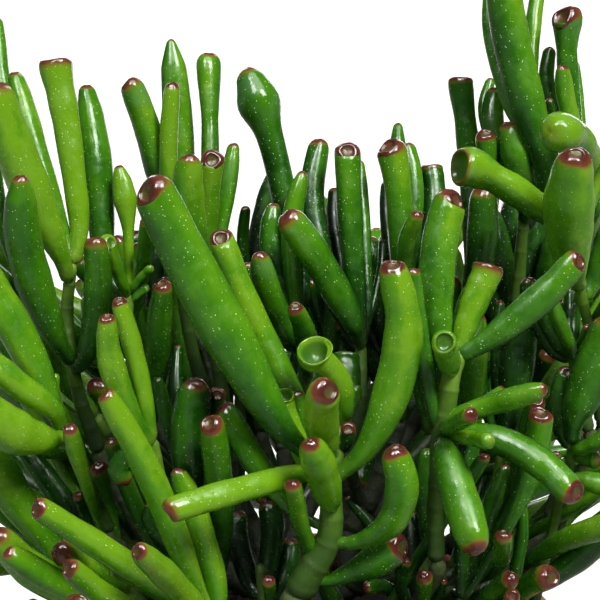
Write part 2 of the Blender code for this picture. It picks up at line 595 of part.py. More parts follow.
def settle(rods, rounds, gap):
    """Moves the leaves apart: drawn ones along their line of sight, the others freely."""
    stations = np.concatenate([r.points for r in rods])
    hold = np.concatenate([r.hold for r in rods])
    first, weight, radius, owner, share = sampled(rods)
    last = np.minimum(first + 1, len(stations) - 1)
    kind = np.array([r.kind == "leaf" for r in rods])[owner]
    drawn = np.array([r.sighted for r in rods])[owner]
    names = sorted({r.shoot for r in rods})
    group = np.array([names.index(r.shoot) for r in rods])[owner]
    mean_depth = np.array([float(np.mean([(p - EYE) @ LOOK for p in r.points[1:]])) for r in rods])
    moved = np.zeros_like(stations)
    pairs = None
    for turn in range(rounds):
        now = stations + moved
        place_now = now[first] * (1 - weight)[:, None] + now[last] * weight[:, None]
        if turn % PAIR_ROUNDS == 0:
            i, j = neighbours(place_now, radius, PAIR_REACH)
            other = owner[i] != owner[j]
            i, j = i[other], j[other]
            same = group[i] == group[j]
            low = ((share[i] < ROOT_SHARE) | ~kind[i]) & ((share[j] < ROOT_SHARE) | ~kind[j])
            fixed = ~kind[i] & ~kind[j]
            pairs = np.stack((i, j))[:, ~(same & low) & ~fixed]
        i, j = pairs
        gap_now = place_now[j] - place_now[i]
        reach = radius[i] + radius[j] + gap
        distance = np.linalg.norm(gap_now, axis=1)
        close = distance < reach
        i, j, gap_now, reach, distance = i[close], j[close], gap_now[close], reach[close], distance[close]
        if len(i) == 0:
            break
        both = drawn[i] & drawn[j]
        depth = gap_now @ LOOK
        beside = np.sqrt(np.maximum(distance ** 2 - depth ** 2, 0.0))
        order = np.where(mean_depth[owner[j]] >= mean_depth[owner[i]], 1.0, -1.0)
        target = order * np.sqrt(np.maximum(reach ** 2 - beside ** 2, 0.0))
        push = np.where(both[:, None], (target - depth)[:, None] * LOOK[None, :],
                        gap_now / np.maximum(distance, 1e-6)[:, None] * (reach - distance)[:, None])
        free_i = np.where(kind[i], np.where(both | ~drawn[i], 1.0, 0.0), 0.0)
        free_j = np.where(kind[j], np.where(both | ~drawn[j], 1.0, 0.0), 0.0)
        total = np.maximum(free_i + free_j, 1e-6)
        shift = np.zeros_like(stations)
        count = np.zeros(len(stations)) + 1e-6
        for who, sign, free in ((i, -1.0, free_i), (j, 1.0, free_j)):
            part = sign * push * (free / total)[:, None]
            for at, w in ((first[who], 1 - weight[who]), (last[who], weight[who])):
                np.add.at(shift, at, part * w[:, None])
                np.add.at(count, at, w * (free > 0))
        moved += STEP_SHARE * shift / np.maximum(count, 1.0)[:, None] * (hold > 0)[:, None]
        start = 0
        for rod in rods:
            n = len(rod.points)
            if rod.kind == "leaf":
                m = moved[start:start + n]
                m[0] = 0.0
                m[1] = 0.62 * m[1] + 0.38 * (m[0] + m[2]) / 2
                m[2] = 0.7 * m[2] + 0.3 * (m[1] + m[3]) / 2
                m[3] = 0.7 * m[3] + 0.3 * (m[2] + m[4]) / 2
            start += n
    start = 0
    for rod in rods:
        rod.points = rod.points + moved[start:start + len(rod.points)]
        start += len(rod.points)


def thin(rods, gap):
    """Where two pieces still press on each other, both give way in thickness."""
    stations = np.concatenate([r.points for r in rods])
    radii = np.concatenate([r.radii for r in rods])
    least = np.concatenate([np.maximum(r.radii * (0.5 if r.kind == "leaf" else 0.8), LEAST_RADIUS)
                            for r in rods])
    names = sorted({r.shoot for r in rods})
    for turn in range(THIN_ROUNDS):
        start = 0
        for r in rods:
            r.radii = radii[start:start + len(r.points)]
            start += len(r.points)
        first, weight, radius, owner, share = sampled(rods)
        last = np.minimum(first + 1, len(stations) - 1)
        spot = stations[first] * (1 - weight)[:, None] + stations[last] * weight[:, None]
        kind = np.array([r.kind == "leaf" for r in rods])[owner]
        group = np.array([names.index(r.shoot) for r in rods])[owner]
        carried = np.array([names.index(r.facts["carries"]) if "carries" in r.facts else -1
                            for r in rods])[owner]
        change = np.ones(len(stations))
        i, j = neighbours(spot, radius, gap)
        dist = np.linalg.norm(spot[i] - spot[j], axis=1)
        met = (~kind[i] & (carried[j] == group[i])) | (~kind[j] & (carried[i] == group[j]))
        keep = (group[i] != group[j]) & ~met
        i, j, dist = i[keep], j[keep], dist[keep]
        factor = np.clip((dist - gap) / (radius[i] + radius[j]), 0.3, 1.0)
        for who in (i, j):
            soft = np.where(kind[who], factor, np.maximum(factor, 0.7))
            np.minimum.at(change, first[who], soft)
            np.minimum.at(change, last[who], soft)
        radii = np.maximum(radii * change, least)
        if not (change < 0.999).any():
            break
    start = 0
    for r in rods:
        r.radii = radii[start:start + len(r.points)]
        start += len(r.points)


def grow():
    """Every shoot of the plant, and the stems that carry them."""
    draw = random.Random(SEED)
    shoots = {name: drawn_shoot(name) for name in SHOOTS}
    number = 0
    for height, radius, begin, finish, count, lean in RINGS:
        for k in range(count):
            number += 1
            bearing = math.radians(begin + (finish - begin) * k / (count - 1) + draw.uniform(-4, 4))
            name = "outer_%02d" % number
            high = height + draw.uniform(-0.004, 0.004)
            wide = radius * draw.uniform(0.92, 1.08)
            tilt = math.radians(lean + draw.uniform(-6, 6))
            best, shift = -1.0, 0.0
            for trial in SHIFTS:
                stem = ring_stem(high, wide, bearing + math.radians(trial), tilt)[0]
                room = clear_of(stem, RING_STEM[0], shoots)
                if room > best:
                    best, shift = room, math.radians(trial)
                if best > 0.002:
                    break
            shoots[name] = ring_shoot(name, draw, high, wide, bearing + shift, tilt)
    wood = limbs(shoots)
    rods = [rod for group in shoots.values() for rod in group] + wood
    settle(rods, SETTLE_ROUNDS, LEAF_GAP)
    thin(rods, LEAF_GAP * 0.7)
    return shoots, wood


# ---------------------------------------------------------------- pot and soil
POT_BASE_RADIUS = 0.0400
POT_NECK_RADIUS = 0.0520      # under the rim band
POT_RIM_RADIUS = 0.0575
POT_RIM_HEIGHT = 0.0185
POT_WALL = 0.0045
POT_FLOOR = 0.0065
DRAIN_RADIUS = 0.0040
DRAIN_CIRCLE = 0.0190
DRAIN_HOLES = 3
POT_SIDES = 32
LEAF_SIDES = 5
STEM_SIDES = 6
TRUNK_SIDES = 12
OUTER_STATIONS = (0.0, 0.33, 0.70, 1.0)
SHOOT_SHARE = 0.50            # share of the triangles kept after the unions
STEM_SHARE = 0.58
WELD = 0.000001
DENTS = (2.1, 2.5, 1.8, 1.5)    # clearances round a piece pressed into another, in tries
DEEPER_DENTS = (2.8, 3.6, 4.4)
LEAST_OVERLAP = 2e-12         # cubic metres
UNION_TRIES = 7
UNION_TURN = 0.31             # radians a tube is turned at each further try of a union
UNION_THINNER = 0.018         # share it gets thinner
DENT_TURN = 0.23
SHOOT_TRIES = 4
SHOOT_STEM_TURN = 0.2
SHOOT_LEAF_TURN = 0.17
SIMPLIFY_TRIES = 8
SIMPLIFY_STEP = 0.03          # share of the triangles given back at each further try
DARK_BELOW = 3.5              # mean light of a shoot's leaves
BRIGHT_ABOVE = 5.5
DRILL_SIDES = 12
DRILL_OVERRUN = 0.002

GREEN = ((0.03, 0.10, 0.01, 1.0), (0.06, 0.20, 0.015, 1.0), (0.17, 0.38, 0.03, 1.0))


def material(name, colour, roughness):
    paint = bpy.data.materials.new(name)
    paint.use_nodes = True
    skin = paint.node_tree.nodes["Principled BSDF"]
    skin.inputs["Base Color"].default_value = colour
    skin.inputs["Roughness"].default_value = roughness
    return paint


def new_object(name, vertices, faces):
    mesh = bpy.data.meshes.new(name)
    mesh.from_pydata([tuple(float(c) for c in v) for v in vertices], [], faces)
    mesh.update()
    shape = bpy.data.objects.new(name, mesh)
    bpy.context.scene.collection.objects.link(shape)
    return shape


def lathe(name, profile, sides):
    """A closed solid turned about the Z axis; the profile runs from axis to axis."""
    vertices, faces, rings = [], [], []
    for radius, height in profile:
        if radius < 1e-9:
            rings.append([len(vertices)])
            vertices.append((0.0, 0.0, height))
        else:
            rings.append(list(range(len(vertices), len(vertices) + sides)))
            for k in range(sides):
                turn = 2 * math.pi * k / sides
                vertices.append((radius * math.cos(turn), radius * math.sin(turn), height))
    for low, high in zip(rings[:-1], rings[1:]):
        for k in range(sides):
            n = (k + 1) % sides
            if len(low) == 1 and len(high) == 1:
                continue
            if len(low) == 1:
                faces.append((low[0], high[n], high[k]))
            elif len(high) == 1:
                faces.append((low[k], low[n], high[0]))
            else:
                faces.append((low[k], low[n], high[n], high[k]))
    return new_object(name, vertices, faces)


def way_angle(a, b):
    """Angle between two directions."""
    return math.acos(max(-1.0, min(1.0, float(np.dot(a, b)))))


def tube(name, points, radii, sides, finish=None, twist=0.0):
    """A closed tube through the stations of a leaf or a stem."""
    points = np.asarray(points, float)
    count = len(points)
    headings = []
    for k in range(count):
        before = unit(points[k] - points[k - 1]) if k else unit(points[1] - points[0])
        after = unit(points[k + 1] - points[k]) if k < count - 1 else before
        headings.append(unit(before + after))
    if finish is not None:
        headings[-1] = finish
    for k in range(count):
        for other in (k - 1, k + 1):
            if 0 <= other < count:
                step = points[other] - points[k]
                steep = 0.5 * float(np.linalg.norm(step)) / radii[k]
                way = unit(step) if other > k else -unit(step)
                if math.tan(min(way_angle(headings[k], way), 1.5)) > steep:
                    headings[k] = unit(headings[k] + way * 2.0)
    side = np.cross(headings[0], (0.0, 0.0, 1.0))
    if np.linalg.norm(side) < 0.1:
        side = np.cross(headings[0], (1.0, 0.0, 0.0))
    vertices, faces = [], []
    for k in range(count):
        side = unit(side - headings[k] * float(side @ headings[k]))
        over = np.cross(headings[k], side)
        for s in range(sides):
            turn = 2 * math.pi * (s + 0.5 * (k % 2)) / sides + twist
            vertices.append(points[k] + (side * math.cos(turn) + over * math.sin(turn)) * radii[k])
    for k in range(count - 1):
        for s in range(sides):
            n = (s + 1) % sides
            a, b, c, d = k * sides + s, k * sides + n, (k + 1) * sides + n, (k + 1) * sides + s
            if k % 2 == 0:
                faces.append((a, b, d))
                faces.append((b, c, d))
            else:
                faces.append((a, b, c))
                faces.append((a, c, d))
    faces.append(tuple(reversed(range(sides))))
    faces.append(tuple((count - 1) * sides + s for s in range(sides)))
    return new_object(name, vertices, faces)


def combine(target, tool, operation):
    """Applies one Boolean to the target and removes the tool."""
    step = target.modifiers.new("step", "BOOLEAN")
    step.operation = operation
    step.solver = "EXACT"
    step.object = tool
    graph = bpy.context.evaluated_depsgraph_get()
    result = bpy.data.meshes.new_from_object(target.evaluated_get(graph))
    target.modifiers.remove(step)
    old = target.data
    target.data = result
    bpy.data.meshes.remove(old)
    bpy.data.objects.remove(tool, do_unlink=True)



def grow_on(shape, points, radii, sides, finish=None, twist=0.0):
    """Unites one more tube with a piece, turned a little if the first union doesn't close."""
    for attempt in range(UNION_TRIES):
        before = shape.data.copy()
        piece = tube("piece", points, np.array(radii) * (1.0 - UNION_THINNER * attempt), sides, finish,
                     twist + UNION_TURN * attempt)
        combine(shape, piece, "UNION")
        if closed(shape.data):
            bpy.data.meshes.remove(before)
            return
        spoiled = shape.data
        shape.data = before
        bpy.data.meshes.remove(spoiled)
    print("left off after a union that stays open:", shape.name)


def closed(mesh):
    """True where every edge of a mesh has exactly two faces and the mesh is in one piece."""
    work = bmesh.new()
    work.from_mesh(mesh)
    bmesh.ops.remove_doubles(work, verts=work.verts, dist=WELD)
    bmesh.ops.triangulate(work, faces=work.faces)
    whole = len(work.verts) > 20 and all(len(edge.link_faces) == 2 for edge in work.edges)
    if not whole:
        work.free()
        return False
    work.verts.ensure_lookup_table()
    seen, queue = {work.verts[0].index}, [work.verts[0]]
    while queue:
        for edge in queue.pop().link_edges:
            for corner in edge.verts:
                if corner.index not in seen:
                    seen.add(corner.index)
                    queue.append(corner)
    whole = len(seen) == len(work.verts)
    work.free()
    return whole


def simplify(shape, share):
    """Collapses the shortest edges that the unions leave, down to a share of the triangles."""
    for attempt in range(SIMPLIFY_TRIES):
        step = shape.modifiers.new("step", "DECIMATE")
        step.decimate_type = "COLLAPSE"
        step.ratio = share + SIMPLIFY_STEP * attempt
        graph = bpy.context.evaluated_depsgraph_get()
        result = bpy.data.meshes.new_from_object(shape.evaluated_get(graph))
        shape.modifiers.remove(step)
        if closed(result):
            old = shape.data
            shape.data = result
            bpy.data.meshes.remove(old)
            return True
        bpy.data.meshes.remove(result)
    return False


def drop_crumbs(work):
    """Deletes the specks that a dent can cut loose, all faces but those of the largest body."""
    bodies, seen = [], set()
    for start in work.faces:
        if start in seen:
            continue
        seen.add(start)
        body, queue = [], [start]
        while queue:
            face = queue.pop()
            body.append(face)
            for edge in face.edges:
                for beside in edge.link_faces:
                    if beside not in seen:
                        seen.add(beside)
                        queue.append(beside)
        bodies.append(body)
    bodies.sort(key=len)
    for crumb in bodies[:-1]:
        bmesh.ops.delete(work, geom=crumb, context="FACES")


def clean(shape, paint):
    """One body of triangles only, with no slivers of no area and one material."""
    work = bmesh.new()
    work.from_mesh(shape.data)
    bmesh.ops.remove_doubles(work, verts=work.verts, dist=WELD)
    bmesh.ops.triangulate(work, faces=work.faces)
    drop_crumbs(work)
    bmesh.ops.recalc_face_normals(work, faces=work.faces)
    work.to_mesh(shape.data)
    work.free()
    shape.data.materials.clear()
    shape.data.materials.append(paint)
    shape.data.name = shape.name


def pressing(rods, reach):
    """Pairs of rods of different pieces that would still touch, the one to be dented first."""
    stations = np.concatenate([r.points for r in rods])
    first, weight, radius, owner, share = sampled(rods)
    last = np.minimum(first + 1, len(stations) - 1)
    spots = stations[first] * (1 - weight)[:, None] + stations[last] * weight[:, None]
    i, j = neighbours(spots, radius, reach)
    found = []
    for a, b in sorted({(int(p), int(q)) for p, q in zip(owner[i], owner[j])}):
        one, two = rods[a], rods[b]
        if one.shoot == two.shoot:
            continue
        if two.facts.get("carries") == one.shoot and one.kind == "stem":
            continue
        if one.facts.get("carries") == two.shoot and two.kind == "stem":
            continue
        rank_one = (one.kind == "leaf", float(one.radii.max()))
        rank_two = (two.kind == "leaf", float(two.radii.max()))
        found.append((one, two) if rank_one > rank_two else (two, one))
    return found


def dent(shape, rod, margins):
    """Presses the form of a rod, with its clearance, into a piece; False if that would break it."""
    points = np.array(rod.points)
    points[0] = points[0] - unit(points[1] - points[0]) * CLEARANCE
    points[-1] = points[-1] + unit(points[-1] - points[-2]) * CLEARANCE * 1.2
    sides = LEAF_SIDES if rod.kind == "leaf" else STEM_SIDES
    for attempt, margin in enumerate(margins):
        tool = tube("tool", points, np.array(rod.radii) + CLEARANCE * margin, sides,
                    rod.facts.get("heading"), DENT_TURN * attempt)
        before = shape.data.copy()
        combine(shape, tool, "DIFFERENCE")
        if closed(shape.data):
            bpy.data.meshes.remove(before)
            return True
        spoiled = shape.data
        shape.data = before
        bpy.data.meshes.remove(spoiled)
    return False


def shared_volume(one, two):
    """Volume that two pieces both fill."""
    probe, tool = one.copy(), two.copy()
    probe.data, tool.data = one.data.copy(), two.data.copy()
    bpy.context.scene.collection.objects.link(probe)
    bpy.context.scene.collection.objects.link(tool)
    combine(probe, tool, "INTERSECT")
    work = bmesh.new()
    work.from_mesh(probe.data)
    volume = abs(work.calc_volume())
    work.free()
    bpy.data.objects.remove(probe, do_unlink=True)
    return volume


def part_neighbours(pieces, rods):
    """Dents every piece that presses on another, then checks the pairs and dents deeper if need be."""
    for one, two in pressing(rods, CLEARANCE * 2.0):
        if not dent(pieces[one.shoot], two, DENTS):
            dent(pieces[two.shoot], one, DENTS)
    for one, two in pressing(rods, CLEARANCE * 5.0):
        for margin in DEEPER_DENTS:
            if shared_volume(pieces[one.shoot], pieces[two.shoot]) < LEAST_OVERLAP:
                break
            dent(pieces[one.shoot], two, (margin, margin + 0.3))
            dent(pieces[two.shoot], one, (margin, margin + 0.3))


def build_shoot(name, rods):
    """The green top of a shoot: its stem and its leaves, one grown piece."""
    for attempt in range(SHOOT_TRIES):
        shoot = tube(name, rods[0].points, rods[0].radii, STEM_SIDES, None, SHOOT_STEM_TURN * attempt)
        for rod in rods[1:]:
            points, radii = rod.points, rod.radii
            if not rod.sighted:
                points = np.array([along(rod.points, s) for s in OUTER_STATIONS])
                radii = np.interp(OUTER_STATIONS, KNOTS, rod.radii)
            grow_on(shoot, points, radii, LEAF_SIDES, None, SHOOT_LEAF_TURN * attempt)
        if simplify(shoot, SHOOT_SHARE) or attempt == SHOOT_TRIES - 1:
            return shoot
        bpy.data.objects.remove(shoot, do_unlink=True)


def skin_tone(rods):
    """One of three greens, by how much light a shoot's leaves get."""
    light = float(np.mean([rod.facts["light"] for rod in rods if rod.kind == "leaf"]))
    if light < DARK_BELOW:
        return GREEN[0]
    return GREEN[2] if light > BRIGHT_ABOVE else GREEN[1]


def build_stems(wood):
    """The trunk and all the stems that branch from it."""
    stems = tube("stems", wood[0].points, wood[0].radii, TRUNK_SIDES)
    for rod in wood[1:]:
        grow_on(stems, rod.points, rod.radii, STEM_SIDES, rod.facts["heading"])
    simplify(stems, STEM_SHARE)
    return stems


def build_pot():
    inner_foot = POT_BASE_RADIUS - POT_WALL + 0.001
    profile = (
        (0.0, 0.0), (POT_BASE_RADIUS - 0.001, 0.0), (POT_BASE_RADIUS, 0.001),
        (POT_NECK_RADIUS, POT_HEIGHT - POT_RIM_HEIGHT),
        (POT_RIM_RADIUS - 0.0012, POT_HEIGHT - POT_RIM_HEIGHT + 0.0006),
        (POT_RIM_RADIUS, POT_HEIGHT - 0.0012), (POT_RIM_RADIUS - 0.001, POT_HEIGHT),
        (POT_RIM_RADIUS - POT_WALL, POT_HEIGHT), (POT_RIM_RADIUS - POT_WALL - 0.0008, POT_HEIGHT - 0.001),
        (inner_wall(POT_HEIGHT - POT_RIM_HEIGHT), POT_HEIGHT - POT_RIM_HEIGHT),
        (inner_foot, POT_FLOOR), (0.0, POT_FLOOR),
    )
    pot = lathe("pot", profile, POT_SIDES)
    for k in range(DRAIN_HOLES):
        turn = 2 * math.pi * (k + 0.25) / DRAIN_HOLES
        spot = Vector((DRAIN_CIRCLE * math.cos(turn), DRAIN_CIRCLE * math.sin(turn), 0.0))
        drill = tube("drill", [spot + Vector((0, 0, -DRILL_OVERRUN)),
                               spot + Vector((0, 0, POT_FLOOR + DRILL_OVERRUN))],
                     (DRAIN_RADIUS, DRAIN_RADIUS), DRILL_SIDES)
        combine(pot, drill, "DIFFERENCE")
    clean(pot, material("clay", (0.45, 0.17, 0.08, 1.0), 0.85))
    return pot


def inner_wall(height):
    """Inside radius of the pot at a height."""
    foot = POT_BASE_RADIUS - POT_WALL + 0.001
    return float(np.interp(height, (POT_FLOOR, POT_HEIGHT - POT_RIM_HEIGHT, POT_HEIGHT),
                           (foot, POT_NECK_RADIUS - 0.002, POT_RIM_RADIUS - POT_WALL - 0.0008)))


def build_soil():
    socket = TRUNK_RADIUS + CLEARANCE
    neck = POT_HEIGHT - POT_RIM_HEIGHT
    floor = POT_FLOOR + CLEARANCE
    profile = (
        (0.0, floor), (inner_wall(floor) - 2 * CLEARANCE, floor),
        (inner_wall(neck) - CLEARANCE, neck),
        (inner_wall(SOIL_TOP) - CLEARANCE, SOIL_TOP - 0.0006),
        (inner_wall(SOIL_TOP) - CLEARANCE - 0.0012, SOIL_TOP),
        (0.030, SOIL_TOP + 0.0008), (socket, SOIL_TOP + 0.0014),
        (socket, TRUNK_FOOT - CLEARANCE), (0.0, TRUNK_FOOT - CLEARANCE),
    )
    soil = lathe("soil", profile, POT_SIDES)
    clean(soil, material("potting_soil", (0.04, 0.025, 0.015, 1.0), 0.95))
    return soil


def build():
    for old in list(bpy.data.objects):
        bpy.data.objects.remove(old, do_unlink=True)
    shoots, wood = grow()
    build_pot()
    build_soil()
    pieces = {"stems": build_stems(wood)}
    for name, rods in shoots.items():
        pieces[name] = build_shoot(name, rods)
    part_neighbours(pieces, [rod for group in shoots.values() for rod in group] + wood)
    for name, piece in pieces.items():
        if name == "stems":
            clean(piece, material("stem_bark", (0.16, 0.17, 0.05, 1.0), 0.7))
        else:
            clean(piece, material(name + "_skin", skin_tone(shoots[name]), 0.35))


build()
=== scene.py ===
"""Trumpet jade in a plain clay pot: the finished leaves, stems, soil and pot, with studio and camera.

Metres, +Z up, the pot stands on z = 0 and the front of the plant faces -Y.
"""
import math
import random

import bmesh
import bpy
import numpy as np
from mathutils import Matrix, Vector


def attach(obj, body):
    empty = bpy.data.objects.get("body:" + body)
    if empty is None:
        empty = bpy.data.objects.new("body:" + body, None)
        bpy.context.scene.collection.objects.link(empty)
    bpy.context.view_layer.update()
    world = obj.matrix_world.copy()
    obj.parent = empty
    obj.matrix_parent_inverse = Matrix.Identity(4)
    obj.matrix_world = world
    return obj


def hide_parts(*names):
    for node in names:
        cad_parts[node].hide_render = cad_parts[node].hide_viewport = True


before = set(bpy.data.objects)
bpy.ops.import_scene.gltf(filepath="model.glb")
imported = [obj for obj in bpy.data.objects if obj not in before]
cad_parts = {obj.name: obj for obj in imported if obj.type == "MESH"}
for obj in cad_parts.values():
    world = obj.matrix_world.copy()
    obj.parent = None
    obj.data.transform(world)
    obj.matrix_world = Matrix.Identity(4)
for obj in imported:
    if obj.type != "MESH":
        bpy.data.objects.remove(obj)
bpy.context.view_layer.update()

# ---------------------------------------------------------------- driving dimensions
MM = 0.001
UNIT = 0.0002                 # one unit of the front elevation, metres
SHEET = 600.0                 # the front elevation is this many units wide and high
SHEET_CENTRE = np.array((0.0, -0.018, 0.160))
SIGHT_TILT = math.radians(12.0)     # the front elevation is drawn looking this much downward
SIGHT_RANGE = 0.36            # distance from which the front elevation is drawn

POT_HEIGHT = 0.085
POT_FLOOR = 0.0065
SOIL_TOP = 0.0745
TRUNK_RADIUS = 0.0085
TRUNK_FOOT = 0.058
TRUNK_HEAD = np.array((0.0, 0.001, 0.089))
CLEARANCE = 0.0003            # gap kept between neighbouring pieces
LEAF_GAP = 0.0006             # gap aimed at between neighbouring leaves
KNOTS = (0.0, 0.22, 0.48, 0.74, 1.0)     # stations along a leaf
LIMB_STATIONS = (0.0, 0.5, 1.0)
LIMB_COLLAR = 0.0028          # straight end of a limb where it meets its shoot
FINE = 4                      # least samples between two stations when leaves are kept apart
SAMPLE_STEP = 0.0028

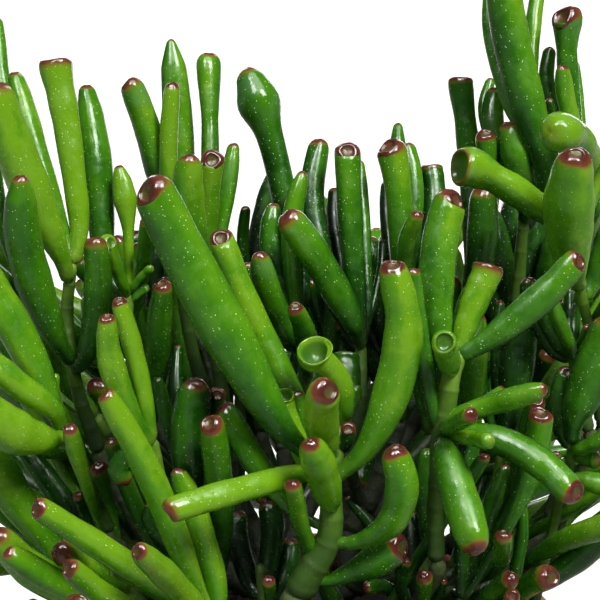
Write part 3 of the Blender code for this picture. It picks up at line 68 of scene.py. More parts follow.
# ---------------------------------------------------------------- front elevation
# shoot: (stem points from its low end to its top, leaves)
# stem point: across, down, depth in mm
# leaf: form, facing of the mouth, tip (across, down, depth mm), halfway, base, width, end, light
SHOOTS = {
"left_top": ([(98,450,12),(80,398,8),(72,362,4),(67,310,4),(72,264,2)], [
 ("cup","LU",(-8,84,-10),(27,180),(74,282),44,34,8),
 ("point","U",(14,72,8),(36,150),(71,262),26,15,4),
 ("flat","U",(54,58,4),(71,155),(82,266),26,35,8),
 ("point","U",(21,175,-18),(28,262),(68,362),40,16,3.4),
 ("cup","U",(95,237,-10),(97,300),(82,368),29,23,4),
 ("point","U",(-3,18,16),(6,100),(60,262),19,11,4),
 ("point","U",(-8,150,10),(0,215),(50,350),20,12,2),
]),
"left_inner": ([(150,520,20),(140,430,14),(130,350,8),(127,292,6)], [
 ("point","U",(119,165,6),(128,225),(127,286),24,9,8),
 ("cup","VRG",(106,236,-4),(114,262),(127,294),16,18,8),
 ("point","RG",(153,267,2),(142,276),(129,292),10,6,7),
 ("point","RG",(149,287,6),(140,292),(130,300),10,6,6),
 ("point","U",(86,85,14),(97,172),(108,300),31,14,3),
]),
"left_front": ([(186,600,0),(172,530,-6),(158,470,-12),(152,440,-14)], [
 ("cup","VU",(118,298,-20),(137,365),(152,442),21,16,8),
 ("cup","VU",(107,315,-26),(114,372),(147,445),26,15,7),
 ("point","D",(127,485,-10),(121,462),(150,452),22,20,3),
]),
"low_left_front": ([(238,680,-4),(224,646,-8),(206,612,-10)], [
 ("cup","UL",(104,392,-26),(156,488),(202,606),29,19,8),
 ("point","U",(177,467,-12),(203,540),(222,622),30,14,7),
 ("cup","LV",(34,505,-28),(104,549),(200,612),26,22,6.2),
 ("cup","LV",(137,549,-36),(168,577),(206,618),28,18,7),
 ("cup","LV",(67,565,-30),(112,600),(206,650),30,20,6),
 ("point","LG",(110,571,-18),(132,581),(190,616),10,8,5),
]),
"left_joint": ([(110,530,2),(92,492,-2),(80,460,-6),(62,428,-10)], [
 ("cup","LU",(-22,262,-16),(19,336),(54,405),37,28,7),
 ("cup","LU",(-30,345,-22),(18,384),(62,414),30,24,7.2),
 ("cup","L",(-34,392,-26),(14,432),(60,438),46,34,7),
 ("point","UG",(53,374,-12),(52,388),(58,410),11,8,5),
 ("point","LU",(-8,328,16),(26,376),(68,440),26,16,1),
]),
"low_left": ([(176,640,12),(140,600,8),(110,565,6),(100,545,6)], [
 ("point","LU",(-34,428,-6),(16,500),(84,582),46,30,4.6),
 ("point","L",(-4,532,-14),(36,572),(118,612),38,22,6),
 ("point","UV",(95,465,-4),(107,506),(118,562),28,21,3),
 ("point","U",(78,493,0),(84,514),(104,552),18,12,2),
 ("point","LV",(58,551,-18),(82,563),(122,590),24,27,6),
 ("point","L",(26,604,-4),(66,624),(130,648),22,16,3),
 ("point","L",(20,446,10),(52,486),(98,556),26,16,2),
]),
"top_left": ([(212,420,28),(190,340,24),(178,262,20)], [
 ("cup","LUS",(129,79,12),(150,138),(176,240),30,24,4),
 ("point","U",(171,39,22),(178,130),(182,250),30,7,4),
 ("point","UV",(173,82,10),(169,160),(173,252),20,15,8),
]),
"top_left_inner": ([(226,420,20),(214,340,14),(206,276,10)], [
 ("bulb","U",(208,53,20),(210,140),(210,262),20,27,3),
 ("point","U",(234,143,12),(226,200),(212,270),17,11,5),
 ("cup","V",(214,151,2),(208,200),(205,272),24,25,7),
 ("point","U",(190,154,-4),(189,208),(203,276),33,18,6),
]),
"inner_back": ([(262,430,34),(256,360,30),(249,300,26)], [
 ("point","U",(246,206,22),(243,238),(247,292),12,9,2),
 ("point","U",(284,158,28),(262,215),(251,296),20,12,1),
 ("point","U",(231,315,10),(238,332),(250,350),11,8,3),
]),
"centre_front": ([(300,592,-11),(308,574,-13),(328,542,-15),(331,508,-17),(328,470,-16),(342,425,-12)], [
 ("cup","LV",(148,179,-30),(207,297),(308,472),50,38,4.4),
 ("spoon","VUG",(281,394,-26),(290,426),(312,472),23,21,8),
 ("cup","VR",(325,386,-38),(321,416),(328,455),36,29,8),
 ("point","UV",(309,441,-34),(322,472),(331,508),34,17,8),
 ("cup","LD",(165,512,-36),(236,491),(308,472),27,25,8),
 ("cup","VU",(391,261,-26),(400,364),(346,480),40,25,5.3),
 ("point","VU",(393,446,-28),(397,513),(344,545),33,25,5.6),
 ("point","ULS",(223,403,-12),(262,471),(314,528),30,19,4),
 ("cup","RVS",(405,541,-14),(364,568),(316,586),35,30,3),
 ("cup","V",(218,230,-12),(256,324),(322,445),31,25,6.1),
 ("spoon","VUG",(303,352,-24),(337,376),(345,420),25,38,8),
 ("flat","UG",(346,351,-6),(346,376),(345,414),31,27,4),
 ("point","UG",(356,384,-10),(354,396),(348,414),14,12,4),
 ("cup","V",(348,426,-22),(348,434),(344,448),15,16,3),
 ("point","U",(296,390,-14),(304,415),(320,448),16,14,5),
]),
"centre_back": ([(352,450,10),(360,400,8),(361,346,8)], [
 ("point","ULS",(285,212,-8),(329,278),(364,346),34,28,4),
 ("point","U",(320,139,16),(313,205),(334,300),24,20,1),
 ("cup","V",(347,142,6),(350,218),(357,306),25,26,3),
 ("point","U",(358,160,18),(362,222),(367,316),16,12,2),
 ("point","U",(334,188,18),(336,232),(353,310),16,12,0),
 ("point","U",(319,196,26),(331,245),(354,320),24,14,2),
 ("point","U",(382,240,20),(381,268),(368,320),9,6,3),
]),
"centre_left_back": ([(318,430,14),(306,380,8),(300,332,6)], [
 ("point","US",(259,252,-10),(272,300),(300,352),26,15,4),
 ("point","U",(248,262,0),(257,302),(297,354),18,12,3),
 ("point","U",(274,203,6),(273,252),(296,326),26,12,2),
 ("point","U",(303,171,2),(292,226),(297,316),23,11,5),
 ("club","US",(246,68,12),(273,148),(308,312),27,25,2.2),
 ("point","U",(289,252,6),(291,284),(300,330),14,9,2),
 ("cup","UV",(294,306,-14),(305,336),(306,378),22,15,6),
]),
"centre_right_back": ([(398,420,18),(404,350,14),(402,292,12)], [
 ("point","U",(398,123,22),(398,190),(399,284),20,9,3),
 ("cup","LUV",(390,141,8),(400,208),(402,292),27,31,6),
 ("point","U",(408,143,18),(414,200),(407,288),18,12,3),
 ("point","U",(419,212,-2),(407,242),(403,292),18,14,6),
 ("flat","U",(431,164,20),(434,205),(408,310),27,22,0),
 ("point","U",(386,182,26),(388,225),(396,296),16,10,0),
]),
"right_centre": ([(436,560,-2),(436,500,-6),(441,440,-13),(447,402,-16),(452,374,-17),(458,352,-15)], [
 ("cup","VR",(452,191,-12),(436,285),(447,374),37,28,5.2),
 ("point","U",(413,268,-22),(421,345),(439,438),19,14,3),
 ("trumpet","VG",(443,338,-30),(446,352),(452,370),26,26,7),
 ("flat","U",(492,263,-14),(473,306),(457,354),29,35,7),
 ("point","UG",(471,285,-4),(459,313),(453,350),11,9,6),
 ("point","U",(480,318,-8),(474,336),(460,358),12,8,4),
 ("cup","RV",(581,255,-20),(528,309),(460,358),31,23,2.9),
 ("point","R",(547,388,-26),(503,402),(446,418),25,12,5),
 ("point","RU",(505,388,-12),(486,402),(447,426),14,10,4),
 ("point","R",(473,414,-32),(461,420),(444,428),19,17,6),
 ("bulb","RG",(491,442,-32),(470,439),(444,434),17,17,7),
 ("cup","RVS",(578,500,-28),(519,449),(444,430),34,29,3.1),
 ("point","DV",(478,554,-32),(459,495),(440,438),39,24,3.2),
]),
"right_inner_back": ([(455,470,28),(462,400,24),(466,338,22)], [
 ("point","U",(482,186,12),(480,252),(467,338),33,24,2),
 ("flat","U",(461,75,22),(469,150),(474,300),21,26,3),
 ("cup","UV",(483,133,16),(487,188),(478,310),21,20,2),
]),
"top_right": ([(500,420,32),(514,320,24),(524,220,18),(531,140,12)], [
 ("cup","LU",(499,-54,4),(515,64),(556,212),37,36,4.0),
 ("point","U",(489,-8,16),(496,58),(524,140),17,12,4),
 ("point","U",(540,-20,22),(532,44),(531,130),16,12,4),
 ("point","U",(491,78,24),(485,112),(516,200),13,9,4),
 ("point","U",(512,118,4),(520,166),(530,222),31,18,3),
 ("point","U",(494,88,20),(495,140),(520,210),24,14,2),
 ("point","U",(548,122,18),(547,165),(528,230),22,14,2),
]),
"right_top": ([(600,330,30),(594,260,24),(590,195,18),(583,150,14)], [
 ("cup","VLS",(568,6,12),(568,76),(580,154),22,33,3),
 ("point","U",(550,47,20),(549,92),(578,166),16,13,3),
 ("point","U",(562,65,6),(567,106),(583,164),19,12,5),
 ("point","LU",(547,99,16),(558,128),(586,180),12,10,1),
 ("bulb","LVGS",(552,134,-12),(572,138),(592,176),42,42,8),
 ("point","U",(550,204,24),(566,262),(594,312),20,13,1),
 ("point","U",(575,62,24),(579,110),(586,165),12,8,4),
 ("point","U",(606,150,12),(601,180),(592,222),16,10,3),
]),
"right_big": ([(600,420,20),(592,345,10),(580,290,2),(566,236,-2)], [
 ("cup","UV",(576,151,-20),(569,216),(576,288),49,28,8),
 ("trumpet","LLVS",(456,160,-10),(512,188),(560,226),33,46,6),
 ("point","U",(614,150,-4),(602,174),(574,246),14,10,6),
 ("point","UR",(618,205,4),(606,250),(584,300),30,18,5),
]),
"right_middle": ([(588,430,10),(580,392,8),(572,358,6)], [
 ("point","U",(536,292,6),(549,326),(570,358),20,12,3),
 ("point","U",(550,294,-4),(559,322),(574,354),17,10,4),
 ("point","U",(588,326,-2),(584,341),(575,356),10,8,4),
 ("point","U",(528,277,8),(533,312),(562,362),18,16,1),
 ("point","U",(573,284,14),(573,320),(573,360),18,12,1),
 ("point","U",(612,282,2),(600,318),(578,358),26,16,3),
]),
"right_inner": ([(482,540,22),(494,490,18),(502,448,14)], [
 ("point","U",(527,302,8),(519,362),(505,448),33,20,2),
 ("point","U",(500,300,18),(498,360),(500,440),16,10,1),
 ("point","U",(477,330,16),(482,385),(498,450),14,9,1),
]),
"right_low_joint": ([(556,545,14),(566,492,8),(572,444,0)], [
 ("cup","RU",(612,318,-4),(587,384),(566,442),42,28,2),
 ("cup","V",(569,367,0),(561,404),(566,448),22,15,1),
 ("point","R",(622,428,-8),(598,441),(572,452),18,13,5),
 ("point","R",(606,458,-2),(590,456),(574,452),24,18,3),
 ("point","U",(555,452,-2),(558,466),(568,486),14,12,2),
]),
"right_low": ([(530,620,14),(543,565,10),(556,515,6),(563,478,0)], [
 ("point","R",(614,490,-4),(590,481),(563,476),21,14,5),
 ("cup","RU",(617,466,6),(577,517),(538,562),27,20,5),
]),
"low_right": ([(462,662,12),(486,628,10),(512,600,10)], [
 ("cup","RU",(628,505,-4),(584,553),(522,594),46,34,3),
 ("point","U",(522,500,2),(521,545),(508,604),22,14,3),
 ("cup","RV",(551,575,-14),(526,588),(492,618),29,28,3),
 ("cup","V",(512,595,-20),(508,612),(494,632),18,18,4),
]),
"low_right_front": ([(440,665,4),(454,632,2),(462,600,0)], [
 ("cup","UV",(542,409,-12),(519,500),(464,600),30,25,3),
 ("point","U",(474,440,2),(464,492),(462,580),24,14,2),
 ("point","U",(506,464,4),(492,505),(468,582),20,12,3),
]),
"low_front": ([(414,650,12),(420,605,12),(427,565,12),(434,530,12)], [
 ("point","UV",(424,574,-8),(424,592),(421,618),28,24,4),
 ("point","U",(407,560,-4),(401,588),(418,622),26,20,2),
 ("point","U",(445,582,-4),(440,596),(423,612),14,12,4),
 ("point","U",(458,468,9),(444,505),(432,540),24,16,2),
 ("point","L",(364,588,4),(388,590),(418,618),20,13,2),
 ("point","L",(346,496,18),(376,530),(418,574),25,16,1),
 ("point","U",(412,510,16),(413,555),(418,606),20,14,1),
 ("point","UG",(427,448,7),(424,482),(428,545),21,14,4),
]),
"left_centre": ([(222,640,4),(206,575,0),(192,508,-3)], [
 ("point","U",(197,378,-14),(190,436),(193,508),42,22,2),
 ("cup","V",(218,390,-12),(216,408),(200,470),15,16,4),
 ("point","UG",(157,377,-4),(165,410),(184,475),15,11,3),
 ("point","U",(178,345,4),(176,380),(188,470),14,9,1),
 ("point","RG",(221,461,-2),(208,462),(196,480),9,7,3),
 ("point","U",(150,502,0),(152,524),(196,560),22,14,2),
]),
"centre_low": ([(268,650,6),(264,605,2),(260,565,2)], [
 ("point","U",(268,578,-10),(270,598),(266,630),18,16,3),
 ("point","U",(266,500,6),(272,535),(262,590),24,16,2),
 ("point","U",(238,510,8),(238,545),(258,600),24,16,1),
 ("point","U",(290,538,8),(286,575),(268,622),22,14,1),
]),
"deep_left": ([(140,470,46),(146,390,44),(150,330,42)], [
 ("point","U",(112,240,42),(128,290),(148,346),28,16,1),
 ("point","U",(136,230,48),(142,285),(149,340),28,16,0),
 ("point","U",(162,226,46),(157,280),(151,340),28,16,1),
 ("point","U",(186,236,44),(170,290),(152,346),26,15,0),
 ("point","L",(96,300,40),(120,335),(147,366),26,16,1),
 ("point","R",(196,312,40),(174,340),(152,366),26,16,0),
]),
"deep_left_centre": ([(238,480,50),(240,400,46),(242,340,42)], [
 ("point","U",(214,236,42),(226,290),(240,352),28,16,0),
 ("point","U",(240,242,48),(242,292),(242,350),28,16,1),
 ("point","U",(268,244,46),(256,294),(243,350),28,16,0),
 ("point","U",(288,262,42),(268,312),(244,362),26,15,1),
 ("point","L",(204,306,38),(222,342),(240,376),26,16,0),
 ("point","R",(284,322,38),(264,352),(244,380),26,16,0),
 ("point","D",(262,504,34),(254,462),(240,426),28,20,0),
]),
"deep_centre": ([(380,480,48),(384,400,44),(386,340,42)], [
 ("point","U",(370,236,42),(376,290),(385,350),30,17,1),
 ("point","U",(398,240,48),(393,294),(387,350),30,17,0),
 ("point","U",(346,258,44),(362,306),(384,356),28,16,0),
 ("point","U",(424,252,44),(407,304),(388,356),28,16,1),
 ("point","L",(338,322,38),(360,350),(384,380),26,16,0),
 ("point","R",(430,322,40),(410,350),(388,380),26,16,0),
 ("point","D",(358,492,30),(366,452),(381,420),28,20,0),
]),
"deep_right": ([(520,480,50),(516,400,46),(514,330,42)], [
 ("point","U",(486,206,44),(498,262),(512,334),30,17,1),
 ("point","U",(512,196,48),(514,254),(514,330),30,17,0),
 ("point","U",(538,204,44),(528,262),(516,334),30,17,1),
 ("point","U",(466,262,42),(488,306),(512,352),28,16,0),
 ("point","U",(551,232,42),(535,296),(516,350),28,16,0),
 ("point","R",(547,350,34),(537,384),(519,424),28,18,0),
 ("point","R",(566,330,38),(540,352),(516,374),26,16,1),
]),
"deep_far_right": ([(606,470,46),(602,400,44),(598,330,40)], [
 ("point","U",(572,212,42),(584,268),(596,334),28,16,0),
 ("point","U",(600,204,48),(600,262),(598,332),28,16,1),
 ("point","U",(630,220,44),(616,274),(600,336),28,16,0),
 ("point","L",(556,300,40),(576,332),(596,362),26,16,0),
 ("point","R",(640,306,40),(620,336),(600,362),26,16,1),
]),
}

STEM_WIDTHS = {"centre_front": (38, 22), "right_centre": (21, 19), "low_front": (20, 16)}
STEM_WIDTH = (16, 12)

# lowest line the sky reaches between the tips in the front elevation
VALLEY = ((-60, 215), (50, 240), (110, 225), (160, 215), (240, 225), (300, 205), (345, 215),
          (440, 200), (500, 190), (560, 185), (660, 190))

# shoots outside the front elevation: (height of the head, radius, first and last bearing, how many,
# lean of the head outward from upright in degrees)
RINGS = (
    (0.104, 0.044, -22.0, 202.0, 9, 62.0),
    (0.130, 0.038, -1.0, 181.0, 8, 40.0),
    (0.150, 0.043, 25.0, 155.0, 4, 26.0),
    (0.095, 0.040, 236.0, 290.0, 2, 66.0),
)
RING_LEAVES = 6
RING_TRIES = 14               # turns tried for a leaf before it is left out
RING_STEM = np.array((1.8, 1.65, 1.5)) * MM    # stem radii of an outer shoot, low end to top
RING_OVAL = np.array((1.12, 0.95, 1.0))        # the crown is wider than it is deep
RING_REACH = 0.020            # length of an outer shoot's stem
RING_INNER_SPREAD = (12, 26)  # degrees from the stem's axis, the leaves at the top
RING_OUTER_SPREAD = (34, 58)  # and those round it
RING_LENGTH = (0.034, 0.050)  # shortest and longest leaf, metres
RING_WIDTH = (25, 36)         # narrowest and widest leaf, units
RING_END = (0.55, 0.85)       # its end as a share of its width
RING_RISE = (0.05, 0.22)      # how far a leaf bends up, share of its length
RIM_ROOM = 0.006              # least height of a leaf's end over the pot's rim
SHIFTS = (0, 4, -4, 8, -8, 12, -12, 16, -16)   # degrees an outer shoot may be turned to find room
SEED = 31

NECK_SHARE = 0.62             # a leaf's neck as a share of its width
NECK_MOST = 17.0              # widest neck, units
HOLD = np.interp(KNOTS, (0.0, 0.2, 0.5, 1.0), (0.0, 0.55, 0.9, 1.0))    # how freely a station moves
BASE_DEPTH = 0.15             # share of the tip's depth that a drawn leaf has at its base
HALF_DEPTH = 0.62             # and halfway
CURVE_POINTS = 13
SKY_MARGIN = 12               # units beside the front elevation that are kept free too
LEFT_FALL = (497, 0.27, 6)    # the outline's low left corner: from this row down, slope, start
RIGHT_FALL = (540, 1.5)       # its low right corner: from this row down, slope

FORK_ROOM = 0.016             # least distance between two forks
FORK_DROP = 0.0012            # below the trunk's head where the lowest limbs leave it
FORK_STEP = 0.0004
THIN_LIMB = 0.0030
SETTLE_ROUNDS = 160
PAIR_ROUNDS = 10              # rounds between two searches for neighbours
PAIR_REACH = 0.004
ROOT_SHARE = 0.36             # leaves of one shoot may merge below this share of their length
STEP_SHARE = 0.6
THIN_ROUNDS = 6
LEAST_RADIUS = 0.0008
BLOCK = 500                   # samples compared at a time


def unit(v):
    v = np.asarray(v, float)
    return v / max(float(np.linalg.norm(v)), 1e-9)


RIGHT = np.array((1.0, 0.0, 0.0))
UP = np.array((0.0, math.sin(SIGHT_TILT), math.cos(SIGHT_TILT)))
LOOK = np.array((0.0, math.cos(SIGHT_TILT), -math.sin(SIGHT_TILT)))
EYE = SHEET_CENTRE - LOOK * SIGHT_RANGE


def place(across, down, depth):
    """A point of the front elevation, set back from its sheet by depth millimetres."""
    flat = SHEET_CENTRE + RIGHT * (across - SHEET / 2) * UNIT + UP * (SHEET / 2 - down) * UNIT
    return EYE + (flat - EYE) * (1.0 + depth * MM / SIGHT_RANGE)


def sheet_of(point):
    """Where a point is seen on the front elevation: across, down, depth in mm."""
    ray = np.asarray(point, float) - EYE
    reach = float(ray @ LOOK)
    scale = SIGHT_RANGE / reach
    return (SHEET / 2 + float(ray @ RIGHT) * scale / UNIT,
            SHEET / 2 - float(ray @ UP) * scale / UNIT,
            (reach - SIGHT_RANGE) / MM)


def along(line, t):
    """The point a share t of the way along a polyline, by length."""
    line = np.asarray(line, float)
    step = np.linalg.norm(np.diff(line, axis=0), axis=1)
    run = np.concatenate(([0.0], np.cumsum(step)))
    want = t * run[-1]
    return np.array([np.interp(want, run, line[:, k]) for k in range(line.shape[1])])


def girth(width, end, neck, t):
    """Width of a leaf at a share t of its length."""
    return float(np.interp(t, (0.0, 0.12, 0.30, 0.50, 0.70, 0.88, 1.0),
                           (neck, neck * 1.04, neck + (width - neck) * 0.62, width * 0.96, width,
                            width + (end - width) * (0.80 if end > width else 0.30), end)))


class Rod:
    """A leaf or a stem as a line of stations with a radius at each."""

    def __init__(self, shoot, kind, points, radii, fixed, sighted, **facts):
        self.shoot = shoot
        self.kind = kind
        self.points = np.asarray(points, float)
        self.radii = np.asarray(radii, float)
        self.hold = np.asarray(fixed, float)
        self.sighted = sighted
        self.facts = facts


def nearest(line, point):
    """Nearest point of a polyline."""
    best, where = 1e9, None
    for a, b in zip(line[:-1], line[1:]):
        s = float(np.clip((point - a) @ (b - a) / max((b - a) @ (b - a), 1e-12), 0.0, 1.0))
        q = a + (b - a) * s
        gap = float(np.linalg.norm(point - q))
        if gap < best:
            best, where = gap, q
    return where


def drawn_leaf(shoot, stem, leaf):
    form, facing, tip, half, base, width, end, light = leaf
    depth_line = np.array([sheet_of(p) for p in stem])
    flat = nearest(depth_line[:, :2] * UNIT, np.array(base[:2], float) * UNIT)
    best, root_depth = 1e9, 0.0
    for i in range(len(depth_line) - 1):
        a, b = depth_line[i, :2], depth_line[i + 1, :2]
        s = float(np.clip((np.array(base) - a) @ (b - a) / max((b - a) @ (b - a), 1e-9), 0.0, 1.0))
        gap = float(np.linalg.norm(np.array(base) - a - (b - a) * s))
        if gap < best:
            best, root_depth = gap, depth_line[i, 2] + s * (depth_line[i + 1, 2] - depth_line[i, 2])
    root = place(flat[0] / UNIT, flat[1] / UNIT, root_depth)
    tip = np.array(tip, float)
    base3 = np.array((base[0], base[1], root_depth + BASE_DEPTH * (tip[2] - root_depth)))
    half3 = np.array((half[0], half[1], root_depth + HALF_DEPTH * (tip[2] - root_depth)))
    knee = 2 * half3 - (base3 + tip) / 2
    path = [sheet_of(root)]
    for s in np.linspace(0.0, 1.0, CURVE_POINTS):
        path.append((1 - s) ** 2 * base3 + 2 * s * (1 - s) * knee + s * s * tip)
    line = np.array([place(*p) for p in path])
    points = np.array([along(line, t) for t in KNOTS])
    scale = np.array([1.0 + sheet_of(p)[2] * MM / SIGHT_RANGE for p in points])
    neck = min(NECK_SHARE * width, NECK_MOST)
    radii = np.array([girth(width, end, neck, t) for t in KNOTS]) * UNIT / 2 * scale
    return Rod(shoot, "leaf", points, radii, HOLD, True, form=form, facing=facing, light=light,
               width=width * UNIT, end=end * UNIT)


def drawn_shoot(name):
    line, leaves = SHOOTS[name]
    low, top = STEM_WIDTHS.get(name, STEM_WIDTH)
    points = np.array([place(*p) for p in line])
    radii = np.linspace(low, top, len(points)) * UNIT / 2
    rods = [Rod(name, "stem", points, radii, np.zeros(len(points)), True)]
    rods += [drawn_leaf(name, points, leaf) for leaf in leaves]
    return rods


def in_sky(points, radii):
    """True where a leaf would show above the drawn outline of the front elevation."""
    for p, r in zip(points, radii):
        across, down = sheet_of(p)[:2]
        if -SKY_MARGIN < across < SHEET + SKY_MARGIN:
            edge = np.interp(across, [v[0] for v in VALLEY], [v[1] for v in VALLEY])
            if down < edge + r / UNIT:
                return True
            if down > LEFT_FALL[0] and across < (down - LEFT_FALL[0]) * LEFT_FALL[1] + LEFT_FALL[2]:
                return True
            if down > RIGHT_FALL[0] and across > SHEET - (down - RIGHT_FALL[0]) * RIGHT_FALL[1]:
                return True
    return False


def clear_of(points, radius, shoots):
    """Least room between a stem and everything that already stands."""
    room = 1.0
    line = np.array([along(points, s) for s in np.linspace(0, 1, 9)])
    for group in shoots.values():
        for rod in group:
            other = np.array([along(rod.points, s) for s in np.linspace(0, 1, 12)])
            thick = np.interp(np.linspace(0, 1, 12), np.linspace(0, 1, len(rod.radii)), rod.radii)
            if rod.kind == "leaf":
                thick = thick * 0.4
            gaps = np.linalg.norm(line[:, None] - other[None, :], axis=2) - thick[None, :] - radius
            room = min(room, float(gaps.min()))
    return room


def ring_stem(height, radius, bearing, lean):
    """The stem of an outer shoot, with its axis and the direction outward."""
    out = np.array((math.cos(bearing), math.sin(bearing), 0.0))
    up = np.array((0.0, 0.0, 1.0))
    axis = unit(up * math.cos(lean) + out * math.sin(lean))
    head = out * radius * RING_OVAL + up * height
    foot = head - axis * RING_REACH - out * 0.003
    return np.array([foot, (foot + head) / 2 + out * 0.0008, head]), axis, out


def ring_shoot(name, draw, height, radius, bearing, lean):
    """A shoot at the sides, the back or under the front, with leaves round its head."""
    points, axis, out = ring_stem(height, radius, bearing, lean)
    up = np.array((0.0, 0.0, 1.0))
    rods = [Rod(name, "stem", points, RING_STEM, np.zeros(3), False)]
    side = unit(np.cross(axis, up) if lean > 0.2 else np.cross(axis, out))
    over = np.cross(side, axis)
    for k in range(RING_LEAVES):
        for attempt in range(RING_TRIES):
            turn = 2 * math.pi * (k + draw.uniform(-0.2, 0.2)) / RING_LEAVES + attempt * 0.5
            spread = math.radians(draw.uniform(*(RING_OUTER_SPREAD if k % 3 else RING_INNER_SPREAD)))
            length = draw.uniform(*RING_LENGTH)
            heading = unit(axis * math.cos(spread)
                           + (side * math.cos(turn) + over * math.sin(turn)) * math.sin(spread))
            root = along(points, 0.45 + 0.55 * (k % 3 == 0) + draw.uniform(-0.1, 0.1) * (k % 3 != 0))
            width = draw.uniform(*RING_WIDTH)
            end = width * draw.uniform(*RING_END)
            rise = up * length * draw.uniform(*RING_RISE)
            path = [root + heading * length * s + rise * s * s for s in np.linspace(0, 1, 9)]
            leaf = np.array([along(path, t) for t in KNOTS])
            neck = min(NECK_SHARE * width, NECK_MOST)
            radii = np.array([girth(width, end, neck, t) for t in KNOTS]) * UNIT / 2
            if leaf[-1][2] < POT_HEIGHT + RIM_ROOM or in_sky(leaf, radii):
                continue
            form = draw.choice(("cup", "point", "point", "cup", "bulb"))
            rods.append(Rod(name, "leaf", leaf, radii, HOLD, False, form=form, facing="",
                            light=draw.choice((4, 5, 6)), width=width * UNIT, end=end * UNIT))
            break
    return rods


def limbs(shoots):
    """The branching stems below the shoots: every shoot's low end is carried down to the trunk."""
    rods = [Rod("stems", "stem", [(0, 0, TRUNK_FOOT), (0, 0, 0.078), TRUNK_HEAD],
                np.array((1.0, 1.0, 0.82)) * TRUNK_RADIUS, np.zeros(3), False)]
    feet = []
    for name, group in shoots.items():
        stem = group[0]
        feet.append((float(stem.points[0][2]), name, stem))
    joints = []
    for turn, (_, name, stem) in enumerate(sorted(feet, key=lambda f: f[0])):
        low = stem.points[0]
        down = unit(stem.points[0] - stem.points[1])
        end = low + down * CLEARANCE
        best, choice = 1e9, (TRUNK_HEAD - np.array((0.0, 0.0, FORK_DROP + FORK_STEP * (turn % 9))), 0)
        for spot, generation in joints:
            drop = low[2] - spot[2]
            flat = math.hypot(low[0] - spot[0], low[1] - spot[1])
            if drop < 0.35 * flat + 0.002 or math.hypot(drop, flat) < FORK_ROOM:
                continue
            cost = float(np.linalg.norm(low - spot)) + 0.25 * math.hypot(spot[0], spot[1]) \
                + 0.010 * generation
            if cost < best:
                best, choice = cost, (spot, generation)
        spot, generation = choice
        collar = end + down * LIMB_COLLAR
        span = float(np.linalg.norm(collar - spot))
        lift = unit(unit(collar - spot) + np.array((0, 0, 0.35)))
        path = []
        for s in np.linspace(0, 1, 9):
            b = spot + lift * span * 0.33
            c = collar + down * span * 0.30
            path.append((1 - s) ** 3 * spot + 3 * s * (1 - s) ** 2 * b + 3 * s * s * (1 - s) * c
                        + s ** 3 * collar)
        points = np.array([along(path, t) for t in LIMB_STATIONS] + [end])
        thick = stem.radii[0]
        radii = np.interp(LIMB_STATIONS + (1.0,), (0.0, 1.0), (max(thick, THIN_LIMB), thick))
        rods.append(Rod("stems", "stem", points, radii, np.zeros(4), False, carries=name,
                        heading=unit(stem.points[1] - stem.points[0])))
        joints.append((points[1], generation + 1))
    return rods


def sampled(rods):
    """All rods as samples: station, weight, radius, rod and share of the rod's stations passed."""
    first, weight, radius, owner, share, start = [], [], [], [], [], 0
    for k, rod in enumerate(rods):
        count = len(rod.points)
        for i in range(count - 1):
            last = i == count - 2
            length = float(np.linalg.norm(rod.points[i + 1] - rod.points[i]))
            fine = max(FINE, math.ceil(length / SAMPLE_STEP))
            for f in range(fine + (1 if last else 0)):
                a = f / fine
                first.append(start + i)
                weight.append(a)
                radius.append(rod.radii[i] + (rod.radii[i + 1] - rod.radii[i]) * a)
                owner.append(k)
                share.append((i + a) / (count - 1))
        start += count
    return (np.array(first), np.array(weight), np.array(radius), np.array(owner), np.array(share))


def neighbours(spots, radius, extra):
    """Pairs of samples nearer to each other than their radii and a margin."""
    squares = (spots ** 2).sum(axis=1)
    found = []
    for s in range(0, len(spots), BLOCK):
        block = squares[s:s + BLOCK, None] + squares[None, :] - 2.0 * spots[s:s + BLOCK] @ spots.T
        reach = radius[s:s + BLOCK, None] + radius[None, :] + extra
        i, j = np.nonzero(block < reach * reach)
        i = i + s
        keep = i < j
        found.append(np.stack((i[keep], j[keep]), axis=1))
    return np.concatenate(found).T


def rival_pairs(spots, radius, owner, share, kind, group):
    """Pairs of near samples that must keep apart: not of one leaf, nor low on leaves of one shoot."""
    i, j = neighbours(spots, radius, PAIR_REACH)
    other = owner[i] != owner[j]
    i, j = i[other], j[other]
    same = group[i] == group[j]
    low = ((share[i] < ROOT_SHARE) | ~kind[i]) & ((share[j] < ROOT_SHARE) | ~kind[j])
    fixed = ~kind[i] & ~kind[j]
    return np.stack((i, j))[:, ~(same & low) & ~fixed]


def ease(rods, moved):
    """Spreads the moves of a leaf's stations along it; its root stays."""
    start = 0
    for rod in rods:
        n = len(rod.points)
        if rod.kind == "leaf":
            m = moved[start:start + n]
            m[0] = 0.0
            m[1] = 0.62 * m[1] + 0.38 * (m[0] + m[2]) / 2
            m[2] = 0.7 * m[2] + 0.3 * (m[1] + m[3]) / 2
            m[3] = 0.7 * m[3] + 0.3 * (m[2] + m[4]) / 2
        start += n


